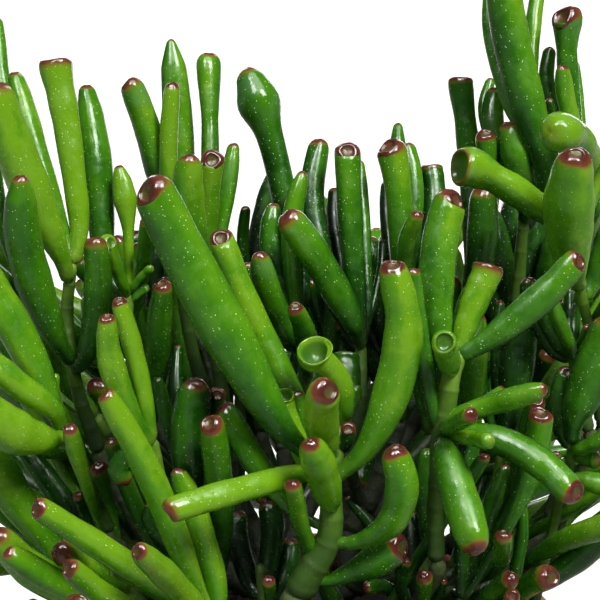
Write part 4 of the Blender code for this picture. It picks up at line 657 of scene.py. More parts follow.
def settle(rods, rounds, gap):
    """Moves the leaves apart: drawn ones along their line of sight, the others freely."""
    stations = np.concatenate([r.points for r in rods])
    hold = np.concatenate([r.hold for r in rods])
    first, weight, radius, owner, share = sampled(rods)
    last = np.minimum(first + 1, len(stations) - 1)
    kind = np.array([r.kind == "leaf" for r in rods])[owner]
    drawn = np.array([r.sighted for r in rods])[owner]
    names = sorted({r.shoot for r in rods})
    group = np.array([names.index(r.shoot) for r in rods])[owner]
    mean_depth = np.array([float(np.mean([(p - EYE) @ LOOK for p in r.points[1:]])) for r in rods])
    moved = np.zeros_like(stations)
    pairs = None
    for turn in range(rounds):
        now = stations + moved
        place_now = now[first] * (1 - weight)[:, None] + now[last] * weight[:, None]
        if turn % PAIR_ROUNDS == 0:
            pairs = rival_pairs(place_now, radius, owner, share, kind, group)
        i, j = pairs
        gap_now = place_now[j] - place_now[i]
        reach = radius[i] + radius[j] + gap
        distance = np.linalg.norm(gap_now, axis=1)
        close = distance < reach
        i, j, gap_now, reach, distance = i[close], j[close], gap_now[close], reach[close], distance[close]
        if len(i) == 0:
            break
        both = drawn[i] & drawn[j]
        depth = gap_now @ LOOK
        beside = np.sqrt(np.maximum(distance ** 2 - depth ** 2, 0.0))
        order = np.where(mean_depth[owner[j]] >= mean_depth[owner[i]], 1.0, -1.0)
        target = order * np.sqrt(np.maximum(reach ** 2 - beside ** 2, 0.0))
        push = np.where(both[:, None], (target - depth)[:, None] * LOOK[None, :],
                        gap_now / np.maximum(distance, 1e-6)[:, None] * (reach - distance)[:, None])
        free_i = np.where(kind[i], np.where(both | ~drawn[i], 1.0, 0.0), 0.0)
        free_j = np.where(kind[j], np.where(both | ~drawn[j], 1.0, 0.0), 0.0)
        total = np.maximum(free_i + free_j, 1e-6)
        shift = np.zeros_like(stations)
        count = np.zeros(len(stations)) + 1e-6
        for who, sign, free in ((i, -1.0, free_i), (j, 1.0, free_j)):
            part = sign * push * (free / total)[:, None]
            for at, w in ((first[who], 1 - weight[who]), (last[who], weight[who])):
                np.add.at(shift, at, part * w[:, None])
                np.add.at(count, at, w * (free > 0))
        moved += STEP_SHARE * shift / np.maximum(count, 1.0)[:, None] * (hold > 0)[:, None]
        ease(rods, moved)
    start = 0
    for rod in rods:
        rod.points = rod.points + moved[start:start + len(rod.points)]
        start += len(rod.points)


def thin(rods, gap):
    """Where two pieces still press on each other, both give way in thickness."""
    stations = np.concatenate([r.points for r in rods])
    radii = np.concatenate([r.radii for r in rods])
    least = np.concatenate([np.maximum(r.radii * (0.5 if r.kind == "leaf" else 0.8), LEAST_RADIUS)
                            for r in rods])
    names = sorted({r.shoot for r in rods})
    for _ in range(THIN_ROUNDS):
        start = 0
        for r in rods:
            r.radii = radii[start:start + len(r.points)]
            start += len(r.points)
        first, weight, radius, owner = sampled(rods)[:4]
        last = np.minimum(first + 1, len(stations) - 1)
        spot = stations[first] * (1 - weight)[:, None] + stations[last] * weight[:, None]
        kind = np.array([r.kind == "leaf" for r in rods])[owner]
        group = np.array([names.index(r.shoot) for r in rods])[owner]
        carried = np.array([names.index(r.facts["carries"]) if "carries" in r.facts else -1
                            for r in rods])[owner]
        change = np.ones(len(stations))
        i, j = neighbours(spot, radius, gap)
        dist = np.linalg.norm(spot[i] - spot[j], axis=1)
        met = (~kind[i] & (carried[j] == group[i])) | (~kind[j] & (carried[i] == group[j]))
        keep = (group[i] != group[j]) & ~met
        i, j, dist = i[keep], j[keep], dist[keep]
        factor = np.clip((dist - gap) / (radius[i] + radius[j]), 0.3, 1.0)
        for who in (i, j):
            soft = np.where(kind[who], factor, np.maximum(factor, 0.7))
            np.minimum.at(change, first[who], soft)
            np.minimum.at(change, last[who], soft)
        radii = np.maximum(radii * change, least)
        if not (change < 0.999).any():
            break
    start = 0
    for r in rods:
        r.radii = radii[start:start + len(r.points)]
        start += len(r.points)


def grow():
    """Every shoot of the plant, and the stems that carry them."""
    draw = random.Random(SEED)
    shoots = {name: drawn_shoot(name) for name in SHOOTS}
    number = 0
    for height, radius, begin, finish, count, lean in RINGS:
        for k in range(count):
            number += 1
            bearing = math.radians(begin + (finish - begin) * k / (count - 1) + draw.uniform(-4, 4))
            name = "outer_%02d" % number
            high = height + draw.uniform(-0.004, 0.004)
            wide = radius * draw.uniform(0.92, 1.08)
            tilt = math.radians(lean + draw.uniform(-6, 6))
            best, shift = -1.0, 0.0
            for trial in SHIFTS:
                stem = ring_stem(high, wide, bearing + math.radians(trial), tilt)[0]
                room = clear_of(stem, RING_STEM[0], shoots)
                if room > best:
                    best, shift = room, math.radians(trial)
                if best > 0.002:
                    break
            shoots[name] = ring_shoot(name, draw, high, wide, bearing + shift, tilt)
    wood = limbs(shoots)
    rods = [rod for group in shoots.values() for rod in group] + wood
    settle(rods, SETTLE_ROUNDS, LEAF_GAP)
    thin(rods, LEAF_GAP * 0.7)
    return shoots, wood


# ---------------------------------------------------------------- hand modelling
MASTER_LENGTH = 0.045         # a middling leaf, modelled upright and then bent to each leaf's line
MASTER_RADIUS = 0.0030
TIP_ZONE = 0.0034             # the part of the master that keeps its shape at the mouth
LEAF_SIDES = 24
LEAF_RINGS = 36
OUTER_SIDES = 16
OUTER_RINGS = 24
STEM_FACETS = 16              # sides of the finished stems
TRUNK_FACETS = 28
LIMB_FACETS = 14
SCAR_SPACING = 0.0052         # between two rings of leaf scars on a green stem
SCAR_SWELL = 0.07             # how far a scar stands out, share of the radius
BARK_SPACING = 0.0065
BARK_SWELL = 0.05
SCAR_WIDTH = 0.10             # share of the spacing
STEM_STEP = 0.0007            # length of a facet along a stem

# how a leaf differs from its pattern
LINE_POINTS = 41
OVAL = (0.045, 0.02)          # section, twofold and threefold, share of the radius
SWELLS = (0.03, 0.018)        # along the leaf, long and short
FOOT_LENGTH = 0.0012          # the rounded foot where a leaf leaves its stem
LEAN_SHARE = 0.85             # how far a mouth turns to its facing
# painted light and shade in a leaf's tone: lighter on the side toward the key lamp and on one random side of
# each leaf, darker toward its foot and lighter toward its end
PAINTED_SUN_LIGHT = 0.25
PAINTED_SIDE_LIGHT = 0.18
PAINTED_LENGTH_SHADE = (0.22, 0.24)
ROUND_TONE = (0.07, 0.06)
LIGHT_SCALE = 8.0             # the brightest light that a leaf of the front is given
DULL_WAX = (0.0, 0.55)
LEAF_SEED = 11


def rest_all():
    """Nothing selected, nothing in edit mode."""
    if bpy.context.object and bpy.context.object.mode != "OBJECT":
        bpy.ops.object.mode_set(mode="OBJECT")
    bpy.ops.object.select_all(action="DESELECT")


def begin_ring(name, sides, radius, height):
    """A closed disc to pull a round piece from, open for editing with its ring selected."""
    rest_all()
    bpy.ops.mesh.primitive_circle_add(vertices=sides, radius=radius, fill_type="NGON",
                                      location=(0.0, 0.0, height))
    piece = bpy.context.object
    piece.name = name
    bpy.ops.object.mode_set(mode="EDIT")
    bpy.ops.mesh.select_all(action="SELECT")
    bpy.ops.mesh.flip_normals()
    return piece


def pull_rings(rings, height, radius):
    """Extrudes the selected ring through a list of (height, radius)."""
    for high, wide in rings:
        bpy.ops.mesh.extrude_region_move(TRANSFORM_OT_translate={"value": (0.0, 0.0, high - height)})
        share = max(wide, 1e-6) / max(radius, 1e-6)
        bpy.ops.transform.resize(value=(share, share, 1.0), center_override=(0.0, 0.0, high))
        height, radius = high, wide


def finish_ring(piece):
    """Leaves edit mode with the poles closed and every face outward."""
    bpy.ops.mesh.select_all(action="SELECT")
    bpy.ops.mesh.remove_doubles(threshold=0.000005)
    bpy.ops.mesh.normals_make_consistent(inside=False)
    bpy.ops.object.mode_set(mode="OBJECT")
    rest_all()
    return piece


# heights and radii of the leaf ends over the last body ring, in end radii
TIP_RINGS = {
    "cup": ((0.28, 1.0), (0.50, 0.985), (0.68, 0.94), (0.82, 0.87), (0.93, 0.785), (1.0, 0.69),
            (1.03, 0.61), (1.02, 0.54), (0.97, 0.48), (0.91, 0.43), (0.87, 0.34), (0.84, 0.22),
            (0.81, 0.09), (0.80, 0.0)),
    "point": ((0.24, 0.985), (0.48, 0.93), (0.70, 0.84), (0.88, 0.70), (1.01, 0.54), (1.08, 0.39),
              (1.10, 0.28), (1.085, 0.19), (1.05, 0.10), (1.04, 0.0)),
    "flat": ((0.34, 1.0), (0.60, 1.0), (0.80, 0.97), (0.93, 0.90), (0.99, 0.80), (1.0, 0.70),
             (0.97, 0.58), (0.94, 0.42), (0.92, 0.20), (0.92, 0.0)),
    "spoon": ((0.30, 1.0), (0.60, 1.03), (0.85, 1.05), (0.98, 1.03), (1.03, 0.985), (1.01, 0.93),
              (0.92, 0.87), (0.72, 0.78), (0.45, 0.64), (0.25, 0.45), (0.15, 0.22), (0.12, 0.0)),
    "trumpet": ((0.28, 1.0), (0.52, 1.0), (0.72, 0.96), (0.87, 0.90), (0.97, 0.82), (1.0, 0.75),
                (0.96, 0.69), (0.86, 0.64), (0.76, 0.55), (0.69, 0.38), (0.66, 0.18), (0.66, 0.0)),
    "club": ((0.30, 0.97), (0.54, 0.89), (0.74, 0.77), (0.90, 0.62), (1.02, 0.45), (1.09, 0.28),
             (1.11, 0.14), (1.115, 0.0)),
    "bulb": ((0.28, 0.985), (0.50, 0.93), (0.70, 0.83), (0.86, 0.70), (0.98, 0.54), (1.06, 0.36),
             (1.09, 0.22), (1.08, 0.10), (1.07, 0.0)),
}
# how far the maroon reaches down from the end, in end radii
LIP_REACH = {"cup": 0.98, "spoon": 0.40, "flat": 0.75, "point": 1.05, "bulb": 0.55, "trumpet": 0.34,
             "club": 0.80}
# how far a leaf draws in below its end, where, and over what share of its length
WAIST = {"cup": (0.04, 0.80, 0.08), "spoon": (0.10, 0.78, 0.09), "flat": (0.14, 0.85, 0.07),
         "point": (0.0, 0.8, 0.1), "bulb": (0.10, 0.68, 0.10), "trumpet": (0.06, 0.70, 0.10),
         "club": (-0.72, 0.865, 0.075)}
# radius inside which an end is a dish, share of the radius
DISH_EDGE = {"cup": 0.45, "spoon": 0.86, "flat": 0.60, "point": 0.0, "bulb": 0.0, "trumpet": 0.72,
             "club": 0.0}
# the most that a mouth turns from the leaf's line, degrees
TILT_MOST = {"cup": 66.0, "spoon": 58.0, "flat": 14.0, "point": 24.0, "bulb": 26.0, "trumpet": 56.0,
             "club": 10.0}
# how deep the crease on the mouth's side is, share of the radius
FOLD_DEPTH = {"cup": 0.05, "spoon": 0.0, "flat": 0.05, "point": 0.15, "bulb": 0.05, "trumpet": 0.0,
              "club": 0.0}
EVEN_RIMS = ("flat", "spoon", "trumpet")
RIM_WAVES = (0.04, 0.08)      # how uneven a rim is: even ones, the others
PALE_ENDS = ("bulb", "trumpet", "club")
BLUSHES = (0.16, 0.80, 1.0)   # strength of the maroon: green tips, pale ends, the others


def tip_profile(form):
    """Heights and radii of a leaf's end on the pattern."""
    base = MASTER_LENGTH - TIP_ZONE
    return [(base + high * MASTER_RADIUS, max(wide * MASTER_RADIUS, 0.00001))
            for high, wide in TIP_RINGS[form]]


def model_leaf(form, sides, rings):
    """One upright leaf of a form; its copies are bent to the plant's own leaves."""
    piece = begin_ring("pattern_" + form, sides, MASTER_RADIUS, 0.0)
    base = MASTER_LENGTH - TIP_ZONE
    body = [(base * (k + 1) / rings, MASTER_RADIUS) for k in range(rings)]
    pull_rings(body + tip_profile(form), 0.0, MASTER_RADIUS)
    finish_ring(piece)
    vertices = np.array([tuple(v.co) for v in piece.data.vertices])
    faces = [tuple(f.vertices) for f in piece.data.polygons]
    bpy.data.objects.remove(piece, do_unlink=True)
    return vertices, faces


# ---------------------------------------------------------------- bending a pattern to a leaf
def read_along(where, run, values):
    """Rows of values read off at runs along a line."""
    return np.stack([np.interp(where, run, values[:, k]) for k in range(3)], axis=1)


def fair_line(points, count):
    """A smooth line through stations: positions, headings and the run at even shares of length."""
    points = np.asarray(points, float)
    ends = np.vstack((2 * points[0] - points[1], points, 2 * points[-1] - points[-2]))
    fine = []
    for k in range(1, len(ends) - 2):
        a, b, c, d = ends[k - 1], ends[k], ends[k + 1], ends[k + 2]
        for s in np.linspace(0, 1, 12, endpoint=k == len(ends) - 3):
            fine.append(0.5 * (2 * b + (c - a) * s + (2 * a - 5 * b + 4 * c - d) * s ** 2
                               + (3 * b - a - 3 * c + d) * s ** 3))
    fine = np.array(fine)
    run = np.concatenate(([0.0], np.cumsum(np.linalg.norm(np.diff(fine, axis=0), axis=1))))
    want = np.linspace(0.0, run[-1], count)
    line = read_along(want, run, fine)
    heading = np.gradient(line, axis=0)
    heading /= np.linalg.norm(heading, axis=1)[:, None]
    return line, heading, want


def carried_frame(heading):
    """Two directions across a line, carried along it without twist."""
    side = np.cross(heading[0], LOOK)
    if np.linalg.norm(side) < 0.1:
        side = np.cross(heading[0], RIGHT)
    sides = []
    for way in heading:
        side = unit(side - way * float(side @ way))
        sides.append(side)
    sides = np.array(sides)
    return sides, np.cross(heading, sides)


# directions that a mouth faces; with G the tip stays green, with S the skin is waxiest and gets a painted
# sheen near its end
FACING = {"U": UP, "D": -UP, "L": -RIGHT, "R": RIGHT, "V": -LOOK, "G": np.zeros(3), "S": np.zeros(3)}
# the way from which the painted light falls, close to the key lamp's
PAINTED_SUN_WAY = unit((0.45, -0.55, 0.72))
CROWN_CENTRE = np.array((0.0, 0.004, 0.120))
CROWN_REACH = np.array((0.075, 0.060, 0.085))


def crown_shade_share(points):
    """0 at the outside of the crown, 1 far inside it: how much painted shade darkens the leaves and stems
    there.
    """
    reach = np.linalg.norm((points - CROWN_CENTRE) / CROWN_REACH, axis=1)
    return np.clip((0.92 - reach) / 0.45, 0.0, 1.0)


def way_between(a, b):
    """Angle between two directions."""
    return math.acos(max(-1.0, min(1.0, float(np.dot(a, b)))))


def leaf_thickness(rod, shares):
    """Radius of a finished leaf at shares of its length, with the waist of its form."""
    width, end = rod.facts["width"], rod.facts["end"]
    neck = min(NECK_SHARE * width, NECK_MOST * UNIT)
    full = np.array([girth(width, end, neck, t) / 2 for t in shares])
    drawn = np.array([girth(width, end, neck, t) / 2 for t in KNOTS])
    thick = full * np.interp(shares, KNOTS, rod.radii / drawn)
    pinch, at, spread = WAIST[rod.facts["form"]]
    return thick * (1.0 - pinch * np.exp(-((shares - at) / spread) ** 2))


def mouth_facing(rod, axis, spare, draw):
    """The direction across a leaf that its mouth turns to, and how far it turns, in degrees."""
    want = sum((FACING[letter] for letter in rod.facts["facing"]), np.zeros(3))
    if np.linalg.norm(want) < 0.1:
        want = unit(axis + np.array((draw.uniform(-1, 1), draw.uniform(-1, 1), draw.uniform(0, 1))))
    across = want - axis * float(want @ axis)
    tilt = unit(across) if np.linalg.norm(across) > 0.05 else spare
    lean = min(math.degrees(way_between(unit(want), axis)) * LEAN_SHARE, TILT_MOST[rod.facts["form"]])
    return tilt, lean


def leaf_tone(light, outward, t, turn, lobes, own):
    """How bright the skin is: painted light on the side toward the sun and on one random side, painted shade
    toward the foot and painted light toward the end, and stripes round the leaf.
    """
    return (light + PAINTED_SUN_LIGHT * (outward @ PAINTED_SUN_WAY) + PAINTED_SIDE_LIGHT * (outward @ own)
            + (PAINTED_LENGTH_SHADE[0] + PAINTED_LENGTH_SHADE[1] * (1 - light)) * (np.clip(t, 0, 0.85) - 0.45)
            + ROUND_TONE[0] * np.cos(2 * turn + lobes[0] + 1.5 * t)
            + ROUND_TONE[1] * np.cos(5 * turn + lobes[1] - 3.0 * t))


def bend_leaf(pattern, rod, draw):
    """A pattern leaf laid along a rod: vertices and their marks (run, lip, light, dish, deep, wax); light
    carries painted light and shade as well as the leaf's own tone.
    """
    vertices = pattern[0]
    form, facing = rod.facts["form"], rod.facts["facing"]
    line, heading, run = fair_line(rod.points, LINE_POINTS)
    side, over = carried_frame(heading)
    length = run[-1]
    shares = run / length
    thick = leaf_thickness(rod, shares)
    end = thick[-1]

    # where each vertex of the pattern comes to lie along the leaf, and how thick the leaf is there
    zone = min(TIP_ZONE * end / MASTER_RADIUS, 0.3 * length)
    high = vertices[:, 2]
    base = MASTER_LENGTH - TIP_ZONE
    in_tip = high > base + 0.00001
    s = np.where(in_tip, length - (MASTER_LENGTH - high) * zone / TIP_ZONE,
                 high / base * (length - zone))
    t = np.clip(s / length, 0.0, 1.0)
    shoulder = np.interp(1.0 - zone / length, shares, thick)
    size = np.where(in_tip, shoulder + (end - shoulder) * np.clip((high - base) / TIP_ZONE, 0, 1),
                    np.interp(t, shares, thick))
    x, y = vertices[:, 0] / MASTER_RADIUS, vertices[:, 1] / MASTER_RADIUS
    radial, turn = np.hypot(x, y), np.arctan2(y, x)
    lobes = [draw.uniform(0, 2 * math.pi) for _ in range(6)]
    oval = 1 + OVAL[0] * np.cos(2 * turn + lobes[0]) + OVAL[1] * np.cos(3 * turn + lobes[1] + 2.0 * t)
    swell = 1 + SWELLS[0] * np.sin(10.0 * t + lobes[2]) + SWELLS[1] * np.sin(23.0 * t + lobes[3])
    size = size * oval * np.where(in_tip, 1.0, swell + (1 - swell) * t ** 6)
    size = size * np.sqrt(np.clip(s / FOOT_LENGTH, 0.05, 1.0))
    tilt, lean = mouth_facing(rod, heading[-1], side[-1], draw)

    # the leaf's section, with the crease on the side that the mouth turns to
    where = np.clip(s, 0.0, length)
    spot, way = read_along(where, run, line), read_along(where, run, heading)
    a, b = read_along(where, run, side), read_along(where, run, over)
    offset = a * (x * size)[:, None] + b * (y * size)[:, None]
    outward = offset / np.maximum(np.linalg.norm(offset, axis=1), 1e-9)[:, None]
    fold_share = np.clip((s - (length - 4.0 * end)) / (3.4 * end), 0.0, 1.0) ** 2
    fold = np.exp(-((1.0 - outward @ tilt) / 0.075) ** 2) * np.clip(radial * 2.5, 0, 1)
    offset = offset * (1.0 - FOLD_DEPTH[form] * fold * fold_share)[:, None]

    # the mouth: turned more and more up to its rim, and a little uneven
    rim = RIM_WAVES[0] if form in EVEN_RIMS else RIM_WAVES[1]
    rim = rim * (np.cos(2 * turn + lobes[4]) + 0.5 * np.cos(3 * turn + lobes[5]))
    tip_share = np.clip((s - (length - 2.2 * zone)) / (1.9 * zone), 0.0, 1.0)
    height = np.where(in_tip, s - (length - zone), 0.0)
    crest, mouth = max(TIP_RINGS[form])
    turned = np.where(radial <= mouth + 0.001, 1.0, np.clip(height / (0.88 * crest * end), 0.0, 1.0) ** 1.3)
    angle = math.radians(lean) * np.where(in_tip, turned, 0.0)
    toward = offset @ tilt
    aside = toward * (np.cos(angle) - 1.0) + (height - 0.32 * end) * np.sin(angle)
    rise = height * (np.cos(angle) - 1.0) - toward * np.sin(angle)
    rise = rise + rim * end * tip_share ** 2 * np.minimum(radial, 1.0)
    placed = spot + offset + tilt * aside[:, None] + way * (s - where + rise)[:, None]

    blush = BLUSHES[0] if "G" in facing else BLUSHES[1] if form in PALE_ENDS else BLUSHES[2]
    lip = np.clip(1.0 - (length - s) / end / LIP_REACH[form], 0, 1) * blush
    dish = np.where(in_tip & (radial < DISH_EDGE[form]), 1.0, 0.0)
    # one side of each leaf, turned a random way, is painted lighter; the tone carries this and the other
    # painted light and shade of leaf_tone
    own = unit(np.array([draw.uniform(-1, 1) for _ in range(3)]))
    tone = leaf_tone(rod.facts["light"] / LIGHT_SCALE, outward, t, turn, lobes, own)
    # the gloss of each leaf, and with S the painted sheen near its end
    wax = np.full(len(t), 1.0 if "S" in facing else draw.uniform(*DULL_WAX))
    marks = np.stack((t, lip, tone, dish, crown_shade_share(placed), wax), axis=1)
    return placed, marks


def skin_stem(rod, sides, draw, rings=SCAR_SPACING, swell=SCAR_SWELL):
    """A stem along a rod, ringed where old leaves have dropped."""
    line, heading, run = fair_line(rod.points, max(8, int(path_length(rod.points) / STEM_STEP)))
    side, over = carried_frame(heading)
    radius = np.interp(run / run[-1], np.linspace(0, 1, len(rod.radii)), rod.radii)
    first = draw.uniform(0, rings)
    phase = (run + first) / rings % 1.0
    scar = np.exp(-((phase - 0.5) / SCAR_WIDTH) ** 2)
    radius = radius * (0.97 + swell * scar)
    vertices, marks, faces = [], [], []
    for k in range(len(line)):
        cap = 0.7 if k in (0, len(line) - 1) else 1.0
        for n in range(sides):
            turn = 2 * math.pi * n / sides
            wobble = (1 + 0.04 * math.sin(2 * turn + run[k] * 260.0)
                      + 0.03 * math.sin(3 * turn - run[k] * 410.0))
            vertices.append(line[k] + (side[k] * math.cos(turn) + over[k] * math.sin(turn))
                            * radius[k] * wobble * cap)
            marks.append((run[k] / run[-1], 0.0, scar[k], 0.0, 0.0, 0.0))
    for k in range(len(line) - 1):
        for n in range(sides):
            m = (n + 1) % sides
            faces.append((k * sides + n, k * sides + m, (k + 1) * sides + m, (k + 1) * sides + n))
    for k, flip in ((0, True), (len(line) - 1, False)):
        pole = len(vertices)
        vertices.append(line[k] + heading[k] * (-1 if flip else 1) * radius[k] * 0.35)
        marks.append((run[k] / run[-1], 0.0, 0.0, 0.0, 0.0, 0.0))
        for n in range(sides):
            a, b = k * sides + n, k * sides + (n + 1) % sides
            faces.append((b, a, pole) if flip else (a, b, pole))
    vertices, marks = np.array(vertices), np.array(marks)
    # painted shade: stems darken far inside the crown
    marks[:, 4] = crown_shade_share(vertices)
    return vertices, faces, marks


def path_length(points):
    return float(np.linalg.norm(np.diff(np.asarray(points, float), axis=0), axis=1).sum())


def assemble(name, parts, materials):
    """One mesh object from bent parts; each part is (vertices, faces, marks, material index)."""
    vertices, faces, marks, slots, start = [], [], [], [], 0
    for part_vertices, part_faces, part_marks, slot in parts:
        vertices.append(part_vertices)
        faces += [tuple(v + start for v in face) for face in part_faces]
        slots += [slot] * len(part_faces)
        marks.append(part_marks)
        start += len(part_vertices)
    vertices, marks = np.concatenate(vertices), np.concatenate(marks)
    mesh = bpy.data.meshes.new(name)
    mesh.from_pydata(vertices.tolist(), [], faces)
    mesh.update()
    for k, mark in enumerate(("run", "lip", "light", "dish", "deep", "wax")):
        layer = mesh.attributes.new(mark, "FLOAT", "POINT")
        layer.data.foreach_set("value", marks[:, k].astype(np.float32))
    for skin in materials:
        mesh.materials.append(skin)
    mesh.polygons.foreach_set("material_index", slots)
    mesh.polygons.foreach_set("use_smooth", [True] * len(mesh.polygons))
    piece = bpy.data.objects.new(name, mesh)
    bpy.context.scene.collection.objects.link(piece)
    return piece


# ---------------------------------------------------------------- finishes
class Wire:
    """A shader value that is added, subtracted and multiplied like a number."""

    def __init__(self, finish, socket):
        self.finish = finish
        self.socket = socket

    def maths(self, operation, other=None, first=None):
        pair = {0: self if first is None else first}
        if other is not None:
            pair[1] = other
        return self.finish.add("ShaderNodeMath", {"operation": operation}, pair)

    def __add__(self, other):
        return self.maths("ADD", other)

    def __sub__(self, other):
        return self.maths("SUBTRACT", other)

    def __rsub__(self, other):
        return self.maths("SUBTRACT", self, other)

    def __mul__(self, other):
        return self.maths("MULTIPLY", other)

    __radd__ = __add__
    __rmul__ = __mul__

    def ramp(self, low, high):
        """0 below low, 1 above high, smooth between."""
        return self.finish.add("ShaderNodeMapRange", {"interpolation_type": "SMOOTHSTEP", "clamp": True},
                               {"Value": self, "From Min": low, "From Max": high})


class Finish:
    """A procedural finish: one Principled surface and the nodes that feed it."""

    def __init__(self, name):
        self.skin = bpy.data.materials.new(name)
        self.skin.use_nodes = True
        self.tree = self.skin.node_tree
        self.surface = self.tree.nodes["Principled BSDF"]
        self.place = self.add("ShaderNodeTexCoord", {}, {}, "Object")

    def add(self, kind, settings, inputs, output=0):
        """A node of a kind, its settings first and then the values or links of its sockets."""
        node = self.tree.nodes.new(kind)
        for name, value in settings.items():
            if name == "stops":
                while len(node.color_ramp.elements) < len(value):
                    node.color_ramp.elements.new(0.5)
                for stop, (position, colour) in zip(node.color_ramp.elements, value):
                    stop.position = position
                    stop.color = tuple(colour) + (1.0,)
            else:
                setattr(node, name, value)
        for name, value in inputs.items():
            socket = node.inputs[name]
            if isinstance(value, Wire):
                self.tree.links.new(value.socket, socket)
            else:
                socket.default_value = value
        return Wire(self, node.outputs[output])

    def mark(self, name):
        """A number that the mesh carries along its surface."""
        return self.add("ShaderNodeAttribute", {"attribute_name": name}, {}, "Fac")

    def noise(self, scale, detail=3.0, rough=0.5):
        return self.add("ShaderNodeTexNoise", {}, {"Vector": self.place, "Scale": scale, "Detail": detail,
                                                   "Roughness": rough})

    def dots(self, scale, small, large):
        """Specks of uneven strength: up to 1 inside a speck, 0 outside."""
        spread = {"Vector": self.place, "Scale": scale}
        cell = self.add("ShaderNodeTexVoronoi", {"feature": "F1"}, spread, "Distance")
        pick = self.add("ShaderNodeTexVoronoi", {"feature": "F1"}, spread, "Color")
        return (1 - cell.ramp(small, large)) * pick.ramp(0.24, 0.55)

    def mix(self, share, a, b):
        """Colour a going to colour b."""
        return self.add("ShaderNodeMix", {"data_type": "RGBA", "clamp_factor": True},
                        {0: share, 6: tuple(a) + (1.0,) if isinstance(a, tuple) else a,
                         7: tuple(b) + (1.0,) if isinstance(b, tuple) else b}, 2)

    def colours(self, share, stops):
        return self.add("ShaderNodeValToRGB", {"stops": stops}, {"Fac": share}, "Color")

    def bump(self, height, strength, distance):
        return self.add("ShaderNodeBump", {}, {"Height": height, "Strength": strength,
                                               "Distance": distance}, "Normal")

    def give(self, **inputs):
        """Sets or links the surface's own sockets."""
        for name, value in inputs.items():
            socket = self.surface.inputs[name.replace("_", " ")]
            if isinstance(value, Wire):
                self.tree.links.new(value.socket, socket)
            else:
                socket.default_value = value
        return self.skin


def leaf_finish():
    """Waxy skin: yellower with painted light on its sunward side, dull and near black with painted shade far
    inside the crown, a painted sheen near the end of the waxiest leaves, flecked, maroon at the mouth.
    """
    f = Finish("waxy_leaf")
    run, lip, light = f.mark("run"), f.mark("lip"), f.mark("light")
    dish, deep, wax = f.mark("dish"), f.mark("deep"), f.mark("wax")
    cloud, mottle, grain = f.noise(90.0, 2.0), f.noise(520.0, 4.0, 0.6), f.noise(2600.0, 2.0)
    broad = f.noise(210.0, 2.0)
    # painted shade: the tone drops far inside the crown
    tone = light * 0.86 + 0.06 + (cloud - 0.5) * 0.80 + (mottle - 0.5) * 0.34 - deep * 0.34
    body = f.colours(tone, ((0.0, (0.0050, 0.0300, 0.0035)), (0.22, (0.0110, 0.0680, 0.0040)),
                            (0.46, (0.0270, 0.1350, 0.0040)), (0.70, (0.0600, 0.2200, 0.0040)),
                            (0.88, (0.0920, 0.2700, 0.0050)), (1.0, (0.1500, 0.3350, 0.0080))))
    pale = (1 - run.ramp(0.0, 0.16)) * 0.40
    body = f.mix(pale * light.ramp(0.3, 1.0), body, (0.26, 0.34, 0.05))
    fleck = f.dots(1250.0, 0.10, 0.17) * cloud.ramp(0.26, 0.50)
    body = f.mix(fleck * 0.95 * (1 - lip), body, (0.60, 0.82, 0.36))
    edge = lip + (mottle - 0.5) * 0.40 * lip.ramp(0.0, 0.2)
    body = f.mix(edge.ramp(0.04, 0.34) * 0.75, body, (0.190, 0.140, 0.014))
    body = f.mix(edge.ramp(0.30, 0.56) * 0.92, body, (0.155, 0.027, 0.019))
    body = f.mix(edge.ramp(0.56, 0.90) * 0.80, body, (0.064, 0.0085, 0.0085))
    bowl = f.mix(lip.ramp(0.15, 0.75) * (1 - mottle.ramp(0.40, 0.62) * 0.7), (0.034, 0.105, 0.009),
                 (0.125, 0.050, 0.022))
    body = f.mix(dish * 0.80, body, bowl)
    # painted shade: near black far inside the crown, on leaves of low tone
    body = f.mix(deep.ramp(0.4, 1.0) * (1 - light.ramp(0.10, 0.40)) * 0.65, body, (0.003, 0.012, 0.003))
    # painted sheen: a pale patch near the end of the waxiest leaves, standing in for a softbox's reflection
    pale_patch = wax.ramp(0.80, 1.0) * run.ramp(0.72, 0.94) * broad.ramp(0.42, 0.58) * (1 - lip.ramp(0.0, 0.3))
    body = f.mix(pale_patch * (1 - dish) * 0.22, body, (0.170, 0.330, 0.160))
    patch = broad * 0.62 + mottle * 0.38
    tip = run.ramp(0.80, 0.95)
    dull = patch.ramp(0.45, 0.54) * (1 - tip * 0.7)
    rough = (0.20 - wax * 0.08 - tip * 0.05 + dull * 0.17 + (mottle - 0.5) * 0.22
             + (1 - light.ramp(0.05, 0.50)) * 0.06 + dish * 0.12)
    relief = mottle * 0.7 + grain * 0.2 + fleck * 0.9 + broad * 2.2
    return f.give(Base_Color=body, Roughness=rough, Normal=f.bump(relief, 0.34, 0.00028),
                  IOR=1.42, Coat_Weight=lip * (1 - dish) * 0.6, Coat_Roughness=0.06)


